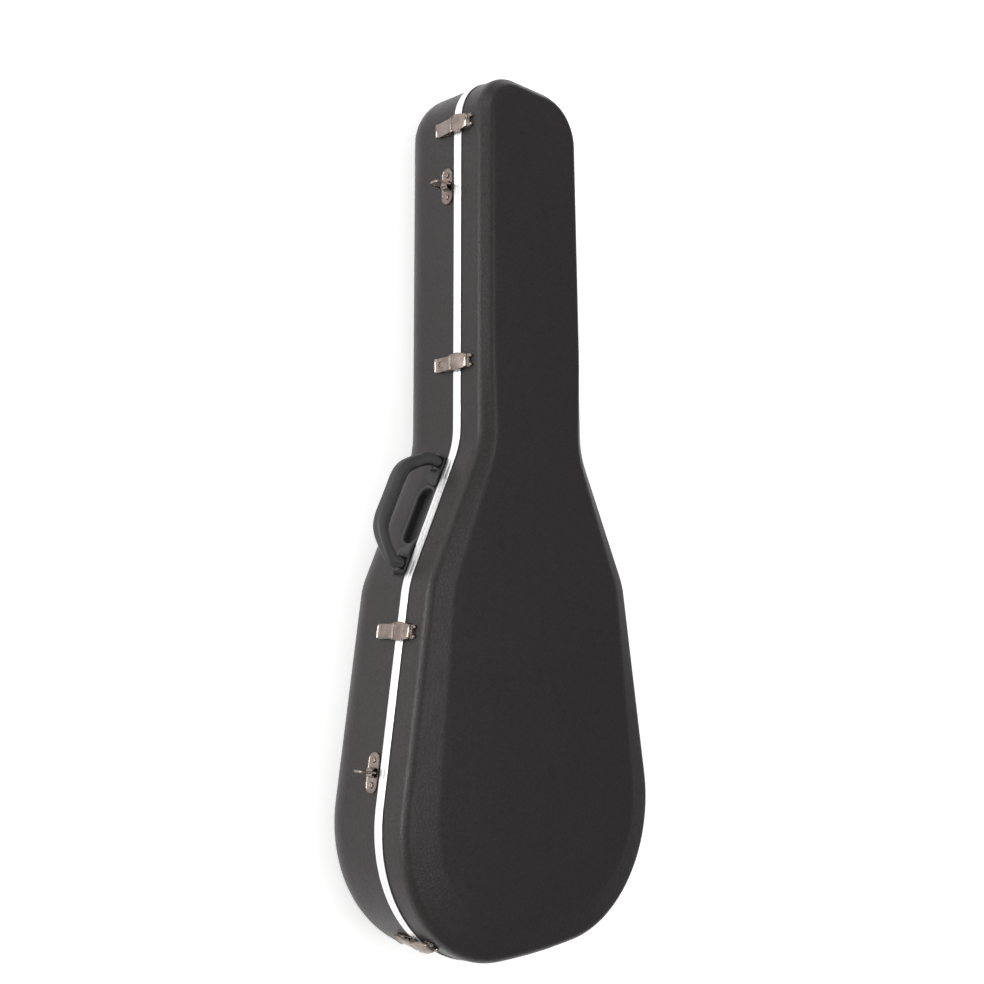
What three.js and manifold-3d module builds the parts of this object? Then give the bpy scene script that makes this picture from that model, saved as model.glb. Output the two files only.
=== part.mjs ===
// Hard-shell guitar case lying on its back: base shell below, hinged lid above.
// +Z is out of the lid, -X is the head end, -Y is the side with the handle and the latches.
// Millimetres throughout.
import * as THREE from "three";
import { mergeVertices } from "three/addons/utils/BufferGeometryUtils.js";
import Module from "manifold-3d";

const wasm = await Module();
wasm.setup();

// ---------------------------------------------------------------- driving dimensions

const caseLength = 1080;
const baseDepth = 110;
const lidDepth = 42;
const lidCrown = 6;
const wall = 3;
const gap = 0.3;

// Half outline, as corners of a polygon: distance from the lower end, half width, corner radius.
const halfOutline = [
  [13, 248, 165],
  [445, 178.2, 90],
  [613, 95, 92],
  [1080, 89, 62],
];
const endCrownRadius = 900;
const arcStep = THREE.MathUtils.degToRad(12);

const backEdgeRadius = 50;
const lidEdgeRadius = 14;
const lidBandStart = 12;
const lidBandEnd = 38;

const seamZ = baseDepth;
const rimDrop = 1.7;
const lidRimRise = 2.8;

const valance = {
  stand: 1.6,
  height: 6.2,
  web: 1.2,
  seam: 0.15,
  inner: 5,
  tongueIn: 1.2,
  tongueWidth: 1.6,
  tongueRise: 1.6,
};

const padding = 15;
const floorPadding = 12;

// Distances of the hardware from the centre of the case along X, negative towards the head.
const latchPlaces = { head: -474, neck: -173, body: 152, end: 501 };
const strapRingPlaces = { upper: -399, lower: 309 };
const hingePlaces = { lower: 325, middle: 225, upper: 125 };
const handlePlace = 15;

const handleSide = -1;
const hingeSide = 1;

// ---------------------------------------------------------------- materials

const finish = {
  abs: { color: 0x2b2a2a, roughness: 0.62, metalness: 0 },
  handle: { color: 0x1f1e1f, roughness: 0.5, metalness: 0 },
  aluminium: { color: 0xc9cacb, roughness: 0.38, metalness: 1 },
  nickel: { color: 0xb9b2a8, roughness: 0.24, metalness: 1 },
  plush: { color: 0x55565a, roughness: 0.95, metalness: 0 },
  webbing: { color: 0x222226, roughness: 0.9, metalness: 0 },
};

// ---------------------------------------------------------------- solid helpers

function solid(geometry) {
  const merged = geometry.clone();
  merged.deleteAttribute("normal");
  merged.deleteAttribute("uv");
  const shared = mergeVertices(merged, 1e-4);
  return new wasm.Manifold(new wasm.Mesh({
    numProp: 3,
    vertProperties: new Float32Array(shared.attributes.position.array),
    triVerts: new Uint32Array(shared.index.array),
  }));
}

function geometryOf(manifold) {
  const mesh = manifold.getMesh();
  const geometry = new THREE.BufferGeometry();
  geometry.setAttribute("position", new THREE.BufferAttribute(mesh.vertProperties, 3));
  geometry.setIndex(new THREE.BufferAttribute(mesh.triVerts, 1));
  geometry.computeVertexNormals();
  return geometry;
}

function join(...geometries) {
  return geometryOf(geometries.map(solid).reduce((whole, next) => whole.add(next)));
}

function cut(geometry, ...tools) {
  return geometryOf(tools.map(solid).reduce((whole, next) => whole.subtract(next), solid(geometry)));
}

function keepInside(geometry, envelope) {
  return geometryOf(solid(geometry).intersect(solid(envelope)));
}

const group = new THREE.Group();

function part(parent, name, geometry, look) {
  const mesh = new THREE.Mesh(geometry, new THREE.MeshStandardMaterial(finish[look]));
  mesh.name = name;
  parent.add(mesh);
  return mesh;
}

function box(sizeX, sizeY, sizeZ, x, y, z) {
  return new THREE.BoxGeometry(sizeX, sizeY, sizeZ).translate(x, y, z);
}

// Turns a profile drawn as (outward, up) and extruded along Z so that it runs along X.
const alongX = new THREE.Matrix4().makeBasis(
  new THREE.Vector3(0, 1, 0),
  new THREE.Vector3(0, 0, 1),
  new THREE.Vector3(1, 0, 0),
);

// Closed sideways profile: points are [outward, up]; the solid is `width` long in local X.
function profileSolid(points, width, offset = 0) {
  const shape = new THREE.Shape(points.map(([outward, up]) => new THREE.Vector2(outward, up)));
  const geometry = new THREE.ExtrudeGeometry(shape, { depth: width, bevelEnabled: false });
  return geometry.applyMatrix4(alongX).translate(offset - width / 2, 0, 0);
}

// Outline of sheet metal of one thickness that follows a bent line.
function bentSheet(line, thickness) {
  const points = line.map(([outward, up]) => new THREE.Vector2(outward, up));
  const side = (sign) => points.map((point, i) => {
    const before = points[Math.max(i - 1, 0)];
    const after = points[Math.min(i + 1, points.length - 1)];
    const inDirection = i > 0 ? point.clone().sub(before).normalize() : null;
    const outDirection = i < points.length - 1 ? after.clone().sub(point).normalize() : null;
    const first = inDirection ?? outDirection;
    const second = outDirection ?? inDirection;
    const along = first.clone().add(second).normalize();
    const mitre = thickness / 2 / along.dot(first);
    return [point.x - along.y * mitre * sign, point.y + along.x * mitre * sign];
  });
  return [...side(1), ...side(-1).reverse()];
}

function rodAlongX(radius, length, outward, up, x = 0, sides = 10) {
  return new THREE.CylinderGeometry(radius, radius, length, sides)
    .rotateZ(Math.PI / 2)
    .translate(x, outward, up);
}

function rodOutward(radius, from, to, x, up, sides = 12) {
  return new THREE.CylinderGeometry(radius, radius, to - from, sides).translate(x, (from + to) / 2, up);
}

// Shallow domed rivet head whose flat side is at `from`.
function rivetHead(radius, height, from, x, up) {
  const profile = [[0, 0], [radius, 0], [radius * 0.7, height * 0.75], [0, height]];
  return new THREE.LatheGeometry(profile.map(([r, h]) => new THREE.Vector2(r, h)), 8).translate(x, from, up);
}

// ---------------------------------------------------------------- case outline

function cornerArcs() {
  const half = halfOutline.map(([along, width, radius]) => [caseLength / 2 - along, width, radius]);
  const corners = [
    [caseLength / 2, 0, endCrownRadius],
    ...half,
    ...half.map(([x, width, radius]) => [x, -width, radius]).reverse(),
  ];
  return corners.map(([x, y, radius], i) => {
    const here = new THREE.Vector2(x, y);
    const before = new THREE.Vector2(...corners.at(i - 1)).sub(here).normalize();
    const after = new THREE.Vector2(...corners[(i + 1) % corners.length]).sub(here).normalize();
    const opening = Math.acos(before.dot(after));
    const bisector = before.clone().add(after).normalize();
    const center = here.clone().addScaledVector(bisector, radius / Math.sin(opening / 2));
    const tangent = here.clone().addScaledVector(before, radius / Math.tan(opening / 2)).sub(center);
    const turn = Math.sign(after.cross(before)) * (Math.PI - opening);
    return { center, radius, start: tangent.angle(), turn };
  });
}

const arcs = cornerArcs();

// Points of the outline, moved inwards by `inset`, counterclockwise seen from the lid.
function outline(inset = 0, step = arcStep) {
  return arcs.flatMap(({ center, radius, start, turn }) => {
    const steps = Math.max(1, Math.ceil(Math.abs(turn) / step));
    const reach = radius - Math.sign(turn) * inset;
    return Array.from({ length: steps + 1 }, (_, k) => {
      const angle = start + (turn * k) / steps;
      return new THREE.Vector2(center.x + Math.cos(angle) * reach, center.y + Math.sin(angle) * reach);
    });
  });
}

const fineOutline = outline(0, arcStep / 8);

// Place on the side wall at a distance along X, as a group whose +Y is straight out of the wall.
function wallGroup(x, side) {
  const count = fineOutline.length;
  const start = fineOutline.findIndex((point, i) => {
    const next = fineOutline[(i + 1) % count];
    const crosses = (point.x - x) * (next.x - x) <= 0 && point.x !== next.x;
    return crosses && point.y * side > 0;
  });
  const from = fineOutline[start];
  const to = fineOutline[(start + 1) % count];
  const y = from.y + ((to.y - from.y) * (x - from.x)) / (to.x - from.x);
  const direction = to.clone().sub(from);
  const place = new THREE.Group();
  place.position.set(x, y, seamZ);
  place.rotation.z = Math.atan2(direction.y, direction.x) + Math.PI;
  group.add(place);
  return place;
}

// Straight-sided block of the outline between two heights.
function slab(inset, bottom, top) {
  const shape = new THREE.Shape(outline(inset));
  return new THREE.ExtrudeGeometry(shape, { depth: top - bottom, bevelEnabled: false })
    .translate(0, 0, bottom);
}

function ring(outerInset, innerInset, bottom, top) {
  return cut(slab(outerInset, bottom, top), slab(innerInset, bottom - 1, top + 1));
}

// Block of the outline whose upper and lower edges are rounded, or chamfered with one segment.
function edgedBlock(inset, bottom, top, size, rise = size, segments = 3) {
  const shape = new THREE.Shape(outline(inset));
  return new THREE.ExtrudeGeometry(shape, {
    depth: top - bottom - 2 * rise,
    bevelThickness: rise,
    bevelSize: size,
    bevelOffset: -size,
    bevelSegments: segments,
  }).translate(0, 0, bottom + rise);
}

const tall = 400;
const wide = 1400;

function below(height) {
  return box(wide, wide, tall, 0, 0, height - tall / 2);
}

function above(height) {
  return box(wide, wide, tall, 0, 0, height + tall / 2);
}

// ---------------------------------------------------------------- handle and hand recess

const handle = {
  pivotSpan: 136,
  pivotOut: 9,
  pivotDown: 15,
  lean: THREE.MathUtils.degToRad(17),
  reach: 39,
  gripLength: 66,
  gripDeep: 20,
  gripThick: 20,
  armWidth: 15,
  armThick: 12,
  knuckle: 5.4,
  pin: 2,
};

const recess = { length: 84, width: 20, depth: 9, down: 21, lining: 3 };

function handleGroup() {
  return wallGroup(handlePlace, handleSide);
}

// Round-ended block standing in the wall, used for the hand recess and for the swelling behind it.
function recessBlock(grow, outward, inward) {
  const half = recess.width / 2 + grow;
  const straight = recess.length / 2 - recess.width / 2;
  const shape = new THREE.Shape();
  shape.absarc(straight, 0, half, -Math.PI / 2, Math.PI / 2);
  shape.absarc(-straight, 0, half, Math.PI / 2, (3 * Math.PI) / 2);
  const geometry = new THREE.ExtrudeGeometry(shape, {
    depth: outward + inward,
    bevelEnabled: false,
    curveSegments: 6,
  });
  geometry.rotateX(-Math.PI / 2).translate(0, -inward, -recess.down);
  const place = handleGroup();
  place.updateMatrixWorld(true);
  group.remove(place);
  return geometry.applyMatrix4(place.matrixWorld);
}

// ---------------------------------------------------------------- shells, valances and padding

function baseShell() {
  const outside = edgedBlock(0, 0, baseDepth * 2, backEdgeRadius);
  const inside = edgedBlock(wall, wall, baseDepth * 2, backEdgeRadius - wall);
  const shell = cut(outside, inside, above(seamZ - rimDrop));
  const swelling = recessBlock(recess.lining, -0.05, recess.depth + recess.lining);
  const hollow = recessBlock(0, 2, recess.depth);
  part(group, "base_shell", cut(join(shell, keepInside(swelling, outside)), hollow), "abs");
}

function lidEnvelope(inset) {
  const top = seamZ + lidDepth - inset;
  const sides = edgedBlock(inset, seamZ - lidDepth, top, lidEdgeRadius - inset);
  const overlap = 1;
  const bandFoot = top - lidCrown - 2 * overlap;
  const bandWidth = lidBandEnd - lidBandStart;
  const crown = edgedBlock(lidBandStart + inset, bandFoot, top + lidCrown, bandWidth, lidCrown + overlap, 1);
  return join(sides, keepInside(crown, above(top - overlap)));
}

function lidShell() {
  const shell = cut(lidEnvelope(0), lidEnvelope(wall), below(seamZ + lidRimRise));
  part(group, "lid_shell", shell, "abs");
}

function valances() {
  const { stand, height, web, seam, inner, tongueIn, tongueWidth, tongueRise } = valance;
  const outerSkin = (bottom, top) => ring(-stand, -gap, bottom, top);
  const baseTop = seamZ - seam;
  const base = join(
    outerSkin(seamZ - height, baseTop),
    ring(-stand, inner, baseTop - web, baseTop),
    ring(tongueIn, tongueIn + tongueWidth, baseTop - web, baseTop + tongueRise),
  );
  part(group, "base_valance", base, "aluminium");
  const lidBottom = seamZ + seam;
  const grooveRoof = lidBottom + tongueRise + gap;
  const lid = cut(
    join(outerSkin(lidBottom, seamZ + height), ring(-stand, inner, lidBottom, seamZ + lidRimRise - gap)),
    ring(tongueIn - gap, tongueIn + tongueWidth + gap, lidBottom - 1, grooveRoof),
  );
  part(group, "lid_valance", lid, "aluminium");
}

const liningInset = wall + gap;
const wellInset = liningInset + padding;
const wellFloor = liningInset + floorPadding;
const lidWellEdge = 16;
const lidWellRoof = seamZ + lidDepth + lidCrown - liningInset - floorPadding;

function baseLiner() {
  const outside = edgedBlock(liningInset, liningInset, baseDepth * 2, backEdgeRadius - liningInset);
  const well = edgedBlock(wellInset, wellFloor, baseDepth * 2, backEdgeRadius - wellInset);
  const relief = recessBlock(recess.lining + gap, 2, recess.depth + recess.lining + gap);
  const topCut = above(seamZ - rimDrop - gap);
  part(group, "base_liner", cut(outside, well, relief, topCut), "plush");
}

function lidLiner() {
  const outside = keepInside(lidEnvelope(liningInset), above(seamZ + lidRimRise + gap));
  const well = edgedBlock(wellInset, seamZ - lidDepth, lidWellRoof, lidWellEdge);
  part(group, "lid_liner", cut(outside, well), "plush");
}

// ---------------------------------------------------------------- fittings inside the base

const compartment = { near: -78, shelfEdge: -150, far: -222, halfWidth: 76, top: 74, board: 6 };
const boxFlap = {
  thick: 4,
  sideMargin: 4,
  hingeStrip: 1.6,
  hingeWidth: 14,
  tabThick: 1.2,
  tabWidth: 15,
  tabOverlap: 22,
  tabLine: [[0, 0.6], [16, 0.6], [22, 1.6], [26, 4.4]],
};
const cradle = {
  near: -226,
  far: -268,
  halfWidth: 76,
  top: 92,
  notchHalf: 34,
  notchDepth: 34,
  notchRound: 14,
};

// Space left inside the padding of the base, shrunk on all sides by `margin`.
function wellSpace(margin) {
  const inset = wellInset + margin;
  return edgedBlock(inset, wellFloor + margin, baseDepth * 2, backEdgeRadius - inset);
}

// Box across the neck channel for picks, strings and a tuner: half shelf, half hinged flap.
function accessoryBox() {
  const { near, shelfEdge, far, halfWidth, top, board } = compartment;
  const middle = (near + far) / 2;
  const outerBlock = box(near - far, halfWidth * 2, top, middle, 0, top / 2);
  const innerBlock = box(near - far - 2 * board, (halfWidth - board) * 2, top * 2, middle, 0, top);
  const outside = keepInside(outerBlock, wellSpace(gap));
  const inside = keepInside(innerBlock, wellSpace(gap + board));
  const shelfBlock = box(shelfEdge - far, halfWidth * 2, board, (shelfEdge + far) / 2, 0, top - board / 2);
  const shelf = keepInside(shelfBlock, wellSpace(gap));
  part(group, "accessory_box", join(cut(outside, inside), shelf), "plush");
  accessoryFlap();
}

function accessoryFlap() {
  const { near, shelfEdge, halfWidth, top } = compartment;
  const bottom = top + gap;
  const hingeEdge = shelfEdge + boxFlap.hingeWidth;
  const width = (halfWidth - boxFlap.sideMargin) * 2;
  const { thick, hingeStrip } = boxFlap;
  const flapLength = near - hingeEdge - gap;
  const flap = box(flapLength, width, thick, near - flapLength / 2, 0, bottom + thick / 2);
  part(group, "accessory_flap", flap, "plush");
  const stripLength = boxFlap.hingeWidth - gap;
  const stripMiddle = shelfEdge + stripLength / 2;
  const strip = box(stripLength, width, hingeStrip, stripMiddle, 0, bottom + hingeStrip / 2);
  part(group, "accessory_flap_hinge", strip, "webbing");
  const tab = profileSolid(bentSheet(boxFlap.tabLine, boxFlap.tabThick), boxFlap.tabWidth)
    .rotateZ(-Math.PI / 2)
    .translate(near - boxFlap.tabOverlap, 0, bottom + boxFlap.thick + gap);
  part(group, "accessory_flap_tab", tab, "webbing");
}

// Padded block with a rounded notch that the neck of the instrument lies in.
function neckCradle() {
  const floor = wellFloor + gap;
  const { near, far, halfWidth, top, notchHalf, notchDepth, notchRound } = cradle;
  const notchFloor = top - notchDepth;
  const shape = new THREE.Shape();
  shape.moveTo(-halfWidth, floor);
  shape.lineTo(halfWidth, floor);
  shape.lineTo(halfWidth, top);
  shape.lineTo(notchHalf, top);
  shape.lineTo(notchHalf, notchFloor + notchRound);
  shape.quadraticCurveTo(notchHalf, notchFloor, 0, notchFloor);
  shape.quadraticCurveTo(-notchHalf, notchFloor, -notchHalf, notchFloor + notchRound);
  shape.lineTo(-notchHalf, top);
  shape.lineTo(-halfWidth, top);
  const depth = near - far;
  const block = new THREE.ExtrudeGeometry(shape, { depth, bevelEnabled: false, curveSegments: 5 })
    .rotateX(Math.PI / 2)
    .rotateZ(Math.PI / 2)
    .translate(far, 0, 0);
  part(group, "neck_cradle", keepInside(block, wellSpace(gap)), "plush");
}

// ---------------------------------------------------------------- latches

// Side profiles are [outward, up] from the wall at the seam.
const latch = {
  width: 20,
  sheet: 1.3,
  pivot: [4.4, -3.5],
  link: [3.4, -10.5],
  pin: 1,
  webHalf: 6.8,
  ear: 1,
  earAt: 7.7,
  neckHalf: 8.5,
  neckFoot: -20,
  cheek: 1.2,
  cheekAt: 9.4,
  plateFoot: -34,
  plateHead: -8,
  earProfile: [
    [gap, -12], [1.6, -12], [2, -9.4], [2.9, -8.9], [5.6, -5.6], [6.6, -3.5],
    [6, -2], [4.4, -1.3], [2.9, -1.9], [2.1, -3.6], [2.1, -8.2], [gap, -8.2],
  ],
  leverLine: [[7.4, -4.6], [7.3, -10], [6.9, -14], [5.2, -27], [4.9, -31], [6.2, -34.5]],
  leverWeb: [[6, -1.7], [2.6, -1.7], [2.2, -5], [1.9, -12.6], [6.8, -13], [7.2, -4.8]],
  hookLine: [[8.1, -3.6], [8.9, 0], [8.9, 6], [7.6, 14], [6.6, 18.4], [5.2, 19.9], [2, 19.9]],
  hookCheek: [
    [2.1, -10.2], [2.3, -11.7], [3.6, -12.2], [4.9, -11.6],
    [8.7, -3.7], [9.3, -0.2], [8.3, 0.2], [7.2, -3.8], [3.6, -8.8],
  ],
  rivet: { radius: 2.1, rise: 0.9, at: 5.4, up: -29 },
};
const keeper = {
  width: 16,
  foot: 11,
  head: 27.5,
  lipWidth: 13,
  lip: [[gap, 14.4], [5, 15.4], [5.2, 17], [4.2, 17.6], [1.4, 18.4], [gap, 18.4]],
  rivet: { radius: 2, rise: 2.4, at: 5.4, up: 23.8 },
};
const lockPlug = { radius: 3.3, from: 2.4, to: 6.9, up: -23, slotWidth: 1, slotLength: 4 };

// Flat plate against the wall between two heights.
function wallPlate(width, foot, head) {
  const face = gap + latch.sheet;
  return profileSolid([[gap, foot], [face, foot], [face, head], [gap, head]], width);
}

function rivetPair({ radius, rise, at, up }) {
  return [-at, at].map((x) => rivetHead(radius, rise, gap + latch.sheet - 0.1, x, up));
}

function latchBackplate(place, name) {
  const plate = wallPlate(latch.width, latch.plateFoot, latch.plateHead);
  const { ear, earAt } = latch;
  const ears = [-earAt, earAt].map((x) => profileSolid(latch.earProfile, ear, x));
  const bore = rodAlongX(latch.pin + 0.2, latch.width, ...latch.pivot);
  const plateWithEars = join(plate, ...ears, ...rivetPair(latch.rivet));
  part(place, `${name}_backplate`, cut(plateWithEars, bore), "nickel");
}

function latchLever(place, name, locked) {
  const sheet = profileSolid(bentSheet(latch.leverLine, latch.sheet), latch.width);
  const beside = [-1, 1].map((side) => box(
    latch.width, tall, tall, side * (latch.neckHalf + latch.width / 2), 0, latch.neckFoot + tall / 2,
  ));
  const top = cut(sheet, ...beside);
  const web = profileSolid(latch.leverWeb, latch.webHalf * 2);
  const pivotBore = rodAlongX(latch.pin + 0.2, latch.width, ...latch.pivot);
  const linkBore = rodAlongX(latch.pin + 0.3, latch.width, ...latch.link);
  const lever = cut(join(top, web), pivotBore, linkBore);
  const plugBore = rodOutward(lockPlug.radius + gap, 0, 12, 0, lockPlug.up);
  part(place, `${name}_lever`, locked ? cut(lever, plugBore) : lever, "nickel");
}

function latchHook(place, name) {
  const arch = profileSolid(bentSheet(latch.hookLine, latch.sheet), latch.width);
  const { cheek, cheekAt } = latch;
  const cheeks = [-cheekAt, cheekAt].map((x) => profileSolid(latch.hookCheek, cheek, x));
  const linkPin = rodAlongX(latch.pin, 2 * cheekAt, ...latch.link);
  part(place, `${name}_hook`, join(arch, ...cheeks, linkPin), "nickel");
}

function latchKeeper(place, name) {
  const plate = wallPlate(keeper.width, keeper.foot, keeper.head);
  const lip = profileSolid(keeper.lip, keeper.lipWidth);
  part(place, `${name}_keeper`, join(plate, lip, ...rivetPair(keeper.rivet)), "nickel");
}

// Round plug with a key slot, turning in the lever of the latch that locks.
function latchLock(place, name) {
  const plug = rodOutward(lockPlug.radius, lockPlug.from, lockPlug.to, 0, lockPlug.up, 16);
  const slot = box(lockPlug.slotWidth, 2, lockPlug.slotLength, 0, lockPlug.to, lockPlug.up);
  part(place, `${name}_lock_plug`, cut(plug, slot), "nickel");
}

function latches() {
  for (const [where, x] of Object.entries(latchPlaces)) {
    const place = wallGroup(x, handleSide);
    const name = `${where}_latch`;
    const locked = where === "neck";
    latchBackplate(place, name);
    latchLever(place, name, locked);
    latchHook(place, name);
    latchKeeper(place, name);
    const pinLength = 2 * latch.earAt + latch.ear + gap;
    part(place, `${name}_pin`, rodAlongX(latch.pin, pinLength, ...latch.pivot), "nickel");
    if (locked) latchLock(place, name);
  }
}

// ---------------------------------------------------------------- hinges

const hinge = {
  length: 44,
  sheet: 1.3,
  axisOut: 7,
  knuckle: 3.4,
  bore: 1.55,
  pin: 1.35,
  middleHalf: 7,
  leafLine: [[2.7, 4.2], [2.7, 9], [0.95, 10.8], [0.95, 28]],
  tab: [[2.05, 5], [3.35, 5], [4.6, 0.1], [2.05, 0.1]],
  rivet: { radius: 2.3, rise: 1.1, at: 15, up: 21 },
};

// One leaf: `up` is 1 for the leaf on the lid and -1 for the one on the base.
function hingeLeaf(up, knuckleSpans) {
  const flip = ([outward, height]) => [outward, up * height];
  const plate = profileSolid(bentSheet(hinge.leafLine, hinge.sheet).map(flip), hinge.length);
  const tab = hinge.tab.map(flip);
  const knuckles = knuckleSpans.flatMap(([from, to]) => [
    rodAlongX(hinge.knuckle, to - from, hinge.axisOut, 0, (from + to) / 2, 12),
    profileSolid(tab, to - from, (from + to) / 2),
  ]);
  const bore = rodAlongX(hinge.bore, hinge.length + 2, hinge.axisOut, 0);
  const rivets = rivetPair({ ...hinge.rivet, up: up * hinge.rivet.up });
  return cut(join(plate, ...knuckles, ...rivets), bore);
}

function hinges() {
  const end = hinge.length / 2;
  const free = hinge.middleHalf + 0.4;
  for (const [where, x] of Object.entries(hingePlaces)) {
    const place = wallGroup(x, hingeSide);
    part(place, `${where}_hinge_base_leaf`, hingeLeaf(-1, [[-end, -free], [free, end]]), "nickel");
    part(place, `${where}_hinge_lid_leaf`, hingeLeaf(1, [[-hinge.middleHalf, hinge.middleHalf]]), "nickel");
    const pin = rodAlongX(hinge.pin, hinge.length + 1.6, hinge.axisOut, 0);
    part(place, `${where}_hinge_pin`, pin, "nickel");
  }
}

// ---------------------------------------------------------------- shoulder-strap rings

const strapRing = {
  plateLength: 46,
  plateWidth: 19,
  plateThick: 1.6,
  down: 18,
  rivetAt: 14,
  bridgeHalf: 5,
  bridgeWide: 10,
  wire: 3.4,
  barOut: 4.1,
  reach: 22,
  half: 10.5,
};

function ringBracket(place, name) {
  const half = strapRing.plateWidth / 2;
  const straight = strapRing.plateLength / 2 - half;
  const shape = new THREE.Shape();
  shape.absarc(straight, 0, half, -Math.PI / 2, Math.PI / 2);
  shape.absarc(-straight, 0, half, Math.PI / 2, (3 * Math.PI) / 2);
  const plate = new THREE.ExtrudeGeometry(shape, {
    depth: strapRing.plateThick,
    bevelEnabled: false,
    curveSegments: 6,
  }).rotateX(-Math.PI / 2).translate(0, gap, -strapRing.down);
  const top = strapRing.barOut + strapRing.wire / 2 + gap + 0.7;
  const legs = [[-strapRing.bridgeHalf, 1], [-3.4, top], [3.4, top], [strapRing.bridgeHalf, 1]];
  const archShape = new THREE.Shape(bentSheet(legs, 1.4).map(([x, y]) => new THREE.Vector2(x, y)));
  const bridge = new THREE.ExtrudeGeometry(archShape, { depth: strapRing.bridgeWide, bevelEnabled: false })
    .translate(0, 0, -strapRing.down - strapRing.bridgeWide / 2);
  part(place, `${name}_bracket`, join(plate, bridge), "nickel");
}

// D-shaped wire ring standing straight out; its straight bar is held under the bridge.
function ringWire(place, name) {
  const { wire, barOut, reach, half } = strapRing;
  const outer = new THREE.Shape();
  const bow = (shape, x, low, high) => {
    shape.moveTo(-x, low);
    shape.lineTo(x, low);
    shape.lineTo(x, high - x * 0.8);
    shape.absellipse(0, high - x * 0.8, x, x * 0.8, 0, Math.PI, false);
    shape.closePath();
  };
  bow(outer, half, -wire / 2, reach);
  const hole = new THREE.Path();
  bow(hole, half - wire, wire / 2, reach - wire);
  outer.holes.push(hole);
  const bevel = wire * 0.28;
  const geometry = new THREE.ExtrudeGeometry(outer, {
    depth: wire - 2 * bevel,
    bevelThickness: bevel,
    bevelSize: bevel,
    bevelOffset: -bevel,
    bevelSegments: 1,
    curveSegments: 8,
  });
  geometry.translate(0, 0, bevel - wire / 2).rotateY(Math.PI / 2).translate(0, barOut, -strapRing.down);
  part(place, `${name}_ring`, geometry, "nickel");
}

function strapRings() {
  for (const [where, x] of Object.entries(strapRingPlaces)) {
    const place = wallGroup(x, handleSide);
    const name = `${where}_strap`;
    ringBracket(place, name);
    ringWire(place, name);
    for (const [end, side] of [["a", -1], ["b", 1]]) {
      const from = gap + strapRing.plateThick + gap;
      const rivet = rivetHead(3, 1.6, from, side * strapRing.rivetAt, -strapRing.down);
      part(place, `${name}_rivet_${end}`, rivet, "nickel");
    }
  }
}

// ---------------------------------------------------------------- carrying handle

// Loop of the handle drawn flat: X along the case edge, Y away from the pivots.
function handleLoop() {
  const pivot = handle.pivotSpan / 2;
  const outerX = pivot + handle.armWidth / 2;
  const innerX = pivot - handle.armWidth / 2;
  const high = handle.reach + handle.gripDeep / 2;
  const low = handle.reach - handle.gripDeep / 2;
  const gripHalf = handle.gripLength / 2;
  const outside = [
    [outerX, 0],
    [outerX, 13],
    [gripHalf + 12, high - 6],
    [gripHalf, high],
  ];
  const inside = [
    [gripHalf - 6, low],
    [gripHalf + 8, low - 4],
    [innerX, 8],
    [innerX, 0],
  ];
  const mirror = (points) => points.map(([x, y]) => [-x, y]).reverse();
  return [...outside, ...mirror(outside), ...mirror(inside), ...inside];
}

function carryingHandle() {
  const place = handleGroup();
  const pivot = new THREE.Group();
  pivot.position.set(0, handle.pivotOut, -handle.pivotDown);
  pivot.rotation.x = -handle.lean;
  place.add(pivot);
  const shape = new THREE.Shape(handleLoop().map(([x, y]) => new THREE.Vector2(x, y)));
  const bevel = 3;
  const loop = new THREE.ExtrudeGeometry(shape, {
    depth: handle.armThick - 2 * bevel,
    bevelThickness: bevel,
    bevelSize: bevel,
    bevelOffset: -bevel,
    bevelSegments: 1,
  }).translate(0, 0, bevel - handle.armThick / 2);
  const gripShape = new THREE.Shape();
  gripShape.absellipse(handle.reach, 0, handle.gripDeep / 2, handle.gripThick / 2, 0, 2 * Math.PI);
  const gripLength = handle.gripLength - 8;
  const gripSize = { depth: gripLength, bevelEnabled: false, curveSegments: 6 };
  const grip = new THREE.ExtrudeGeometry(gripShape, gripSize)
    .applyMatrix4(alongX)
    .translate(-gripLength / 2, 0, 0);
  const knuckles = [-1, 1].map((side) => rodAlongX(
    handle.knuckle, handle.armWidth, 0, 0, (side * handle.pivotSpan) / 2, 12,
  ));
  const bore = rodAlongX(handle.pin + 0.25, handle.pivotSpan * 2, 0, 0);
  part(pivot, "handle", cut(join(loop, grip, ...knuckles), bore), "handle");
  handleMounts(place);
}

// Moulded block with two ears at each end of the handle, and the pin through it.
function handleMounts(place) {
  const ear = 3.2;
  const spread = handle.armWidth / 2 + gap + ear / 2;
  const length = 2 * spread + ear;
  const pivot = [handle.pivotOut, -handle.pivotDown];
  for (const [where, side] of [["head", 1], ["body", -1]]) {
    const x = (side * handle.pivotSpan) / 2;
    const pad = profileSolid([[gap, -31], [3, -31], [3, -8.2], [gap, -8.2]], length, x);
    const earProfile = [[gap, -27], [6, -25], [14, -18], [14.4, -13], [12.6, -9.4], [3, -8.4], [gap, -8.4]];
    const ears = [-spread, spread].map((offset) => profileSolid(earProfile, ear, x + offset));
    const bore = rodAlongX(handle.pin + 0.25, length + 2, ...pivot, x);
    part(place, `handle_mount_${where}`, cut(join(pad, ...ears), bore), "handle");
    part(place, `handle_pin_${where}`, rodAlongX(handle.pin, length + 1, ...pivot, x), "nickel");
  }
}

// ---------------------------------------------------------------- assembly

baseShell();
lidShell();
valances();
baseLiner();
lidLiner();
accessoryBox();
neckCradle();
latches();
hinges();
strapRings();
carryingHandle();

export default group;
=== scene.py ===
"""Looks of the hard-shell guitar case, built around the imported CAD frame.

Lengths in this file are millimetres until they reach a mesh; `mm` turns them into metres.
The case lies on its back: +Z out of the lid, -X the head end, -Y the side with the handle.
"""

import math

import bmesh
import bpy
from mathutils import Matrix, Vector


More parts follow.
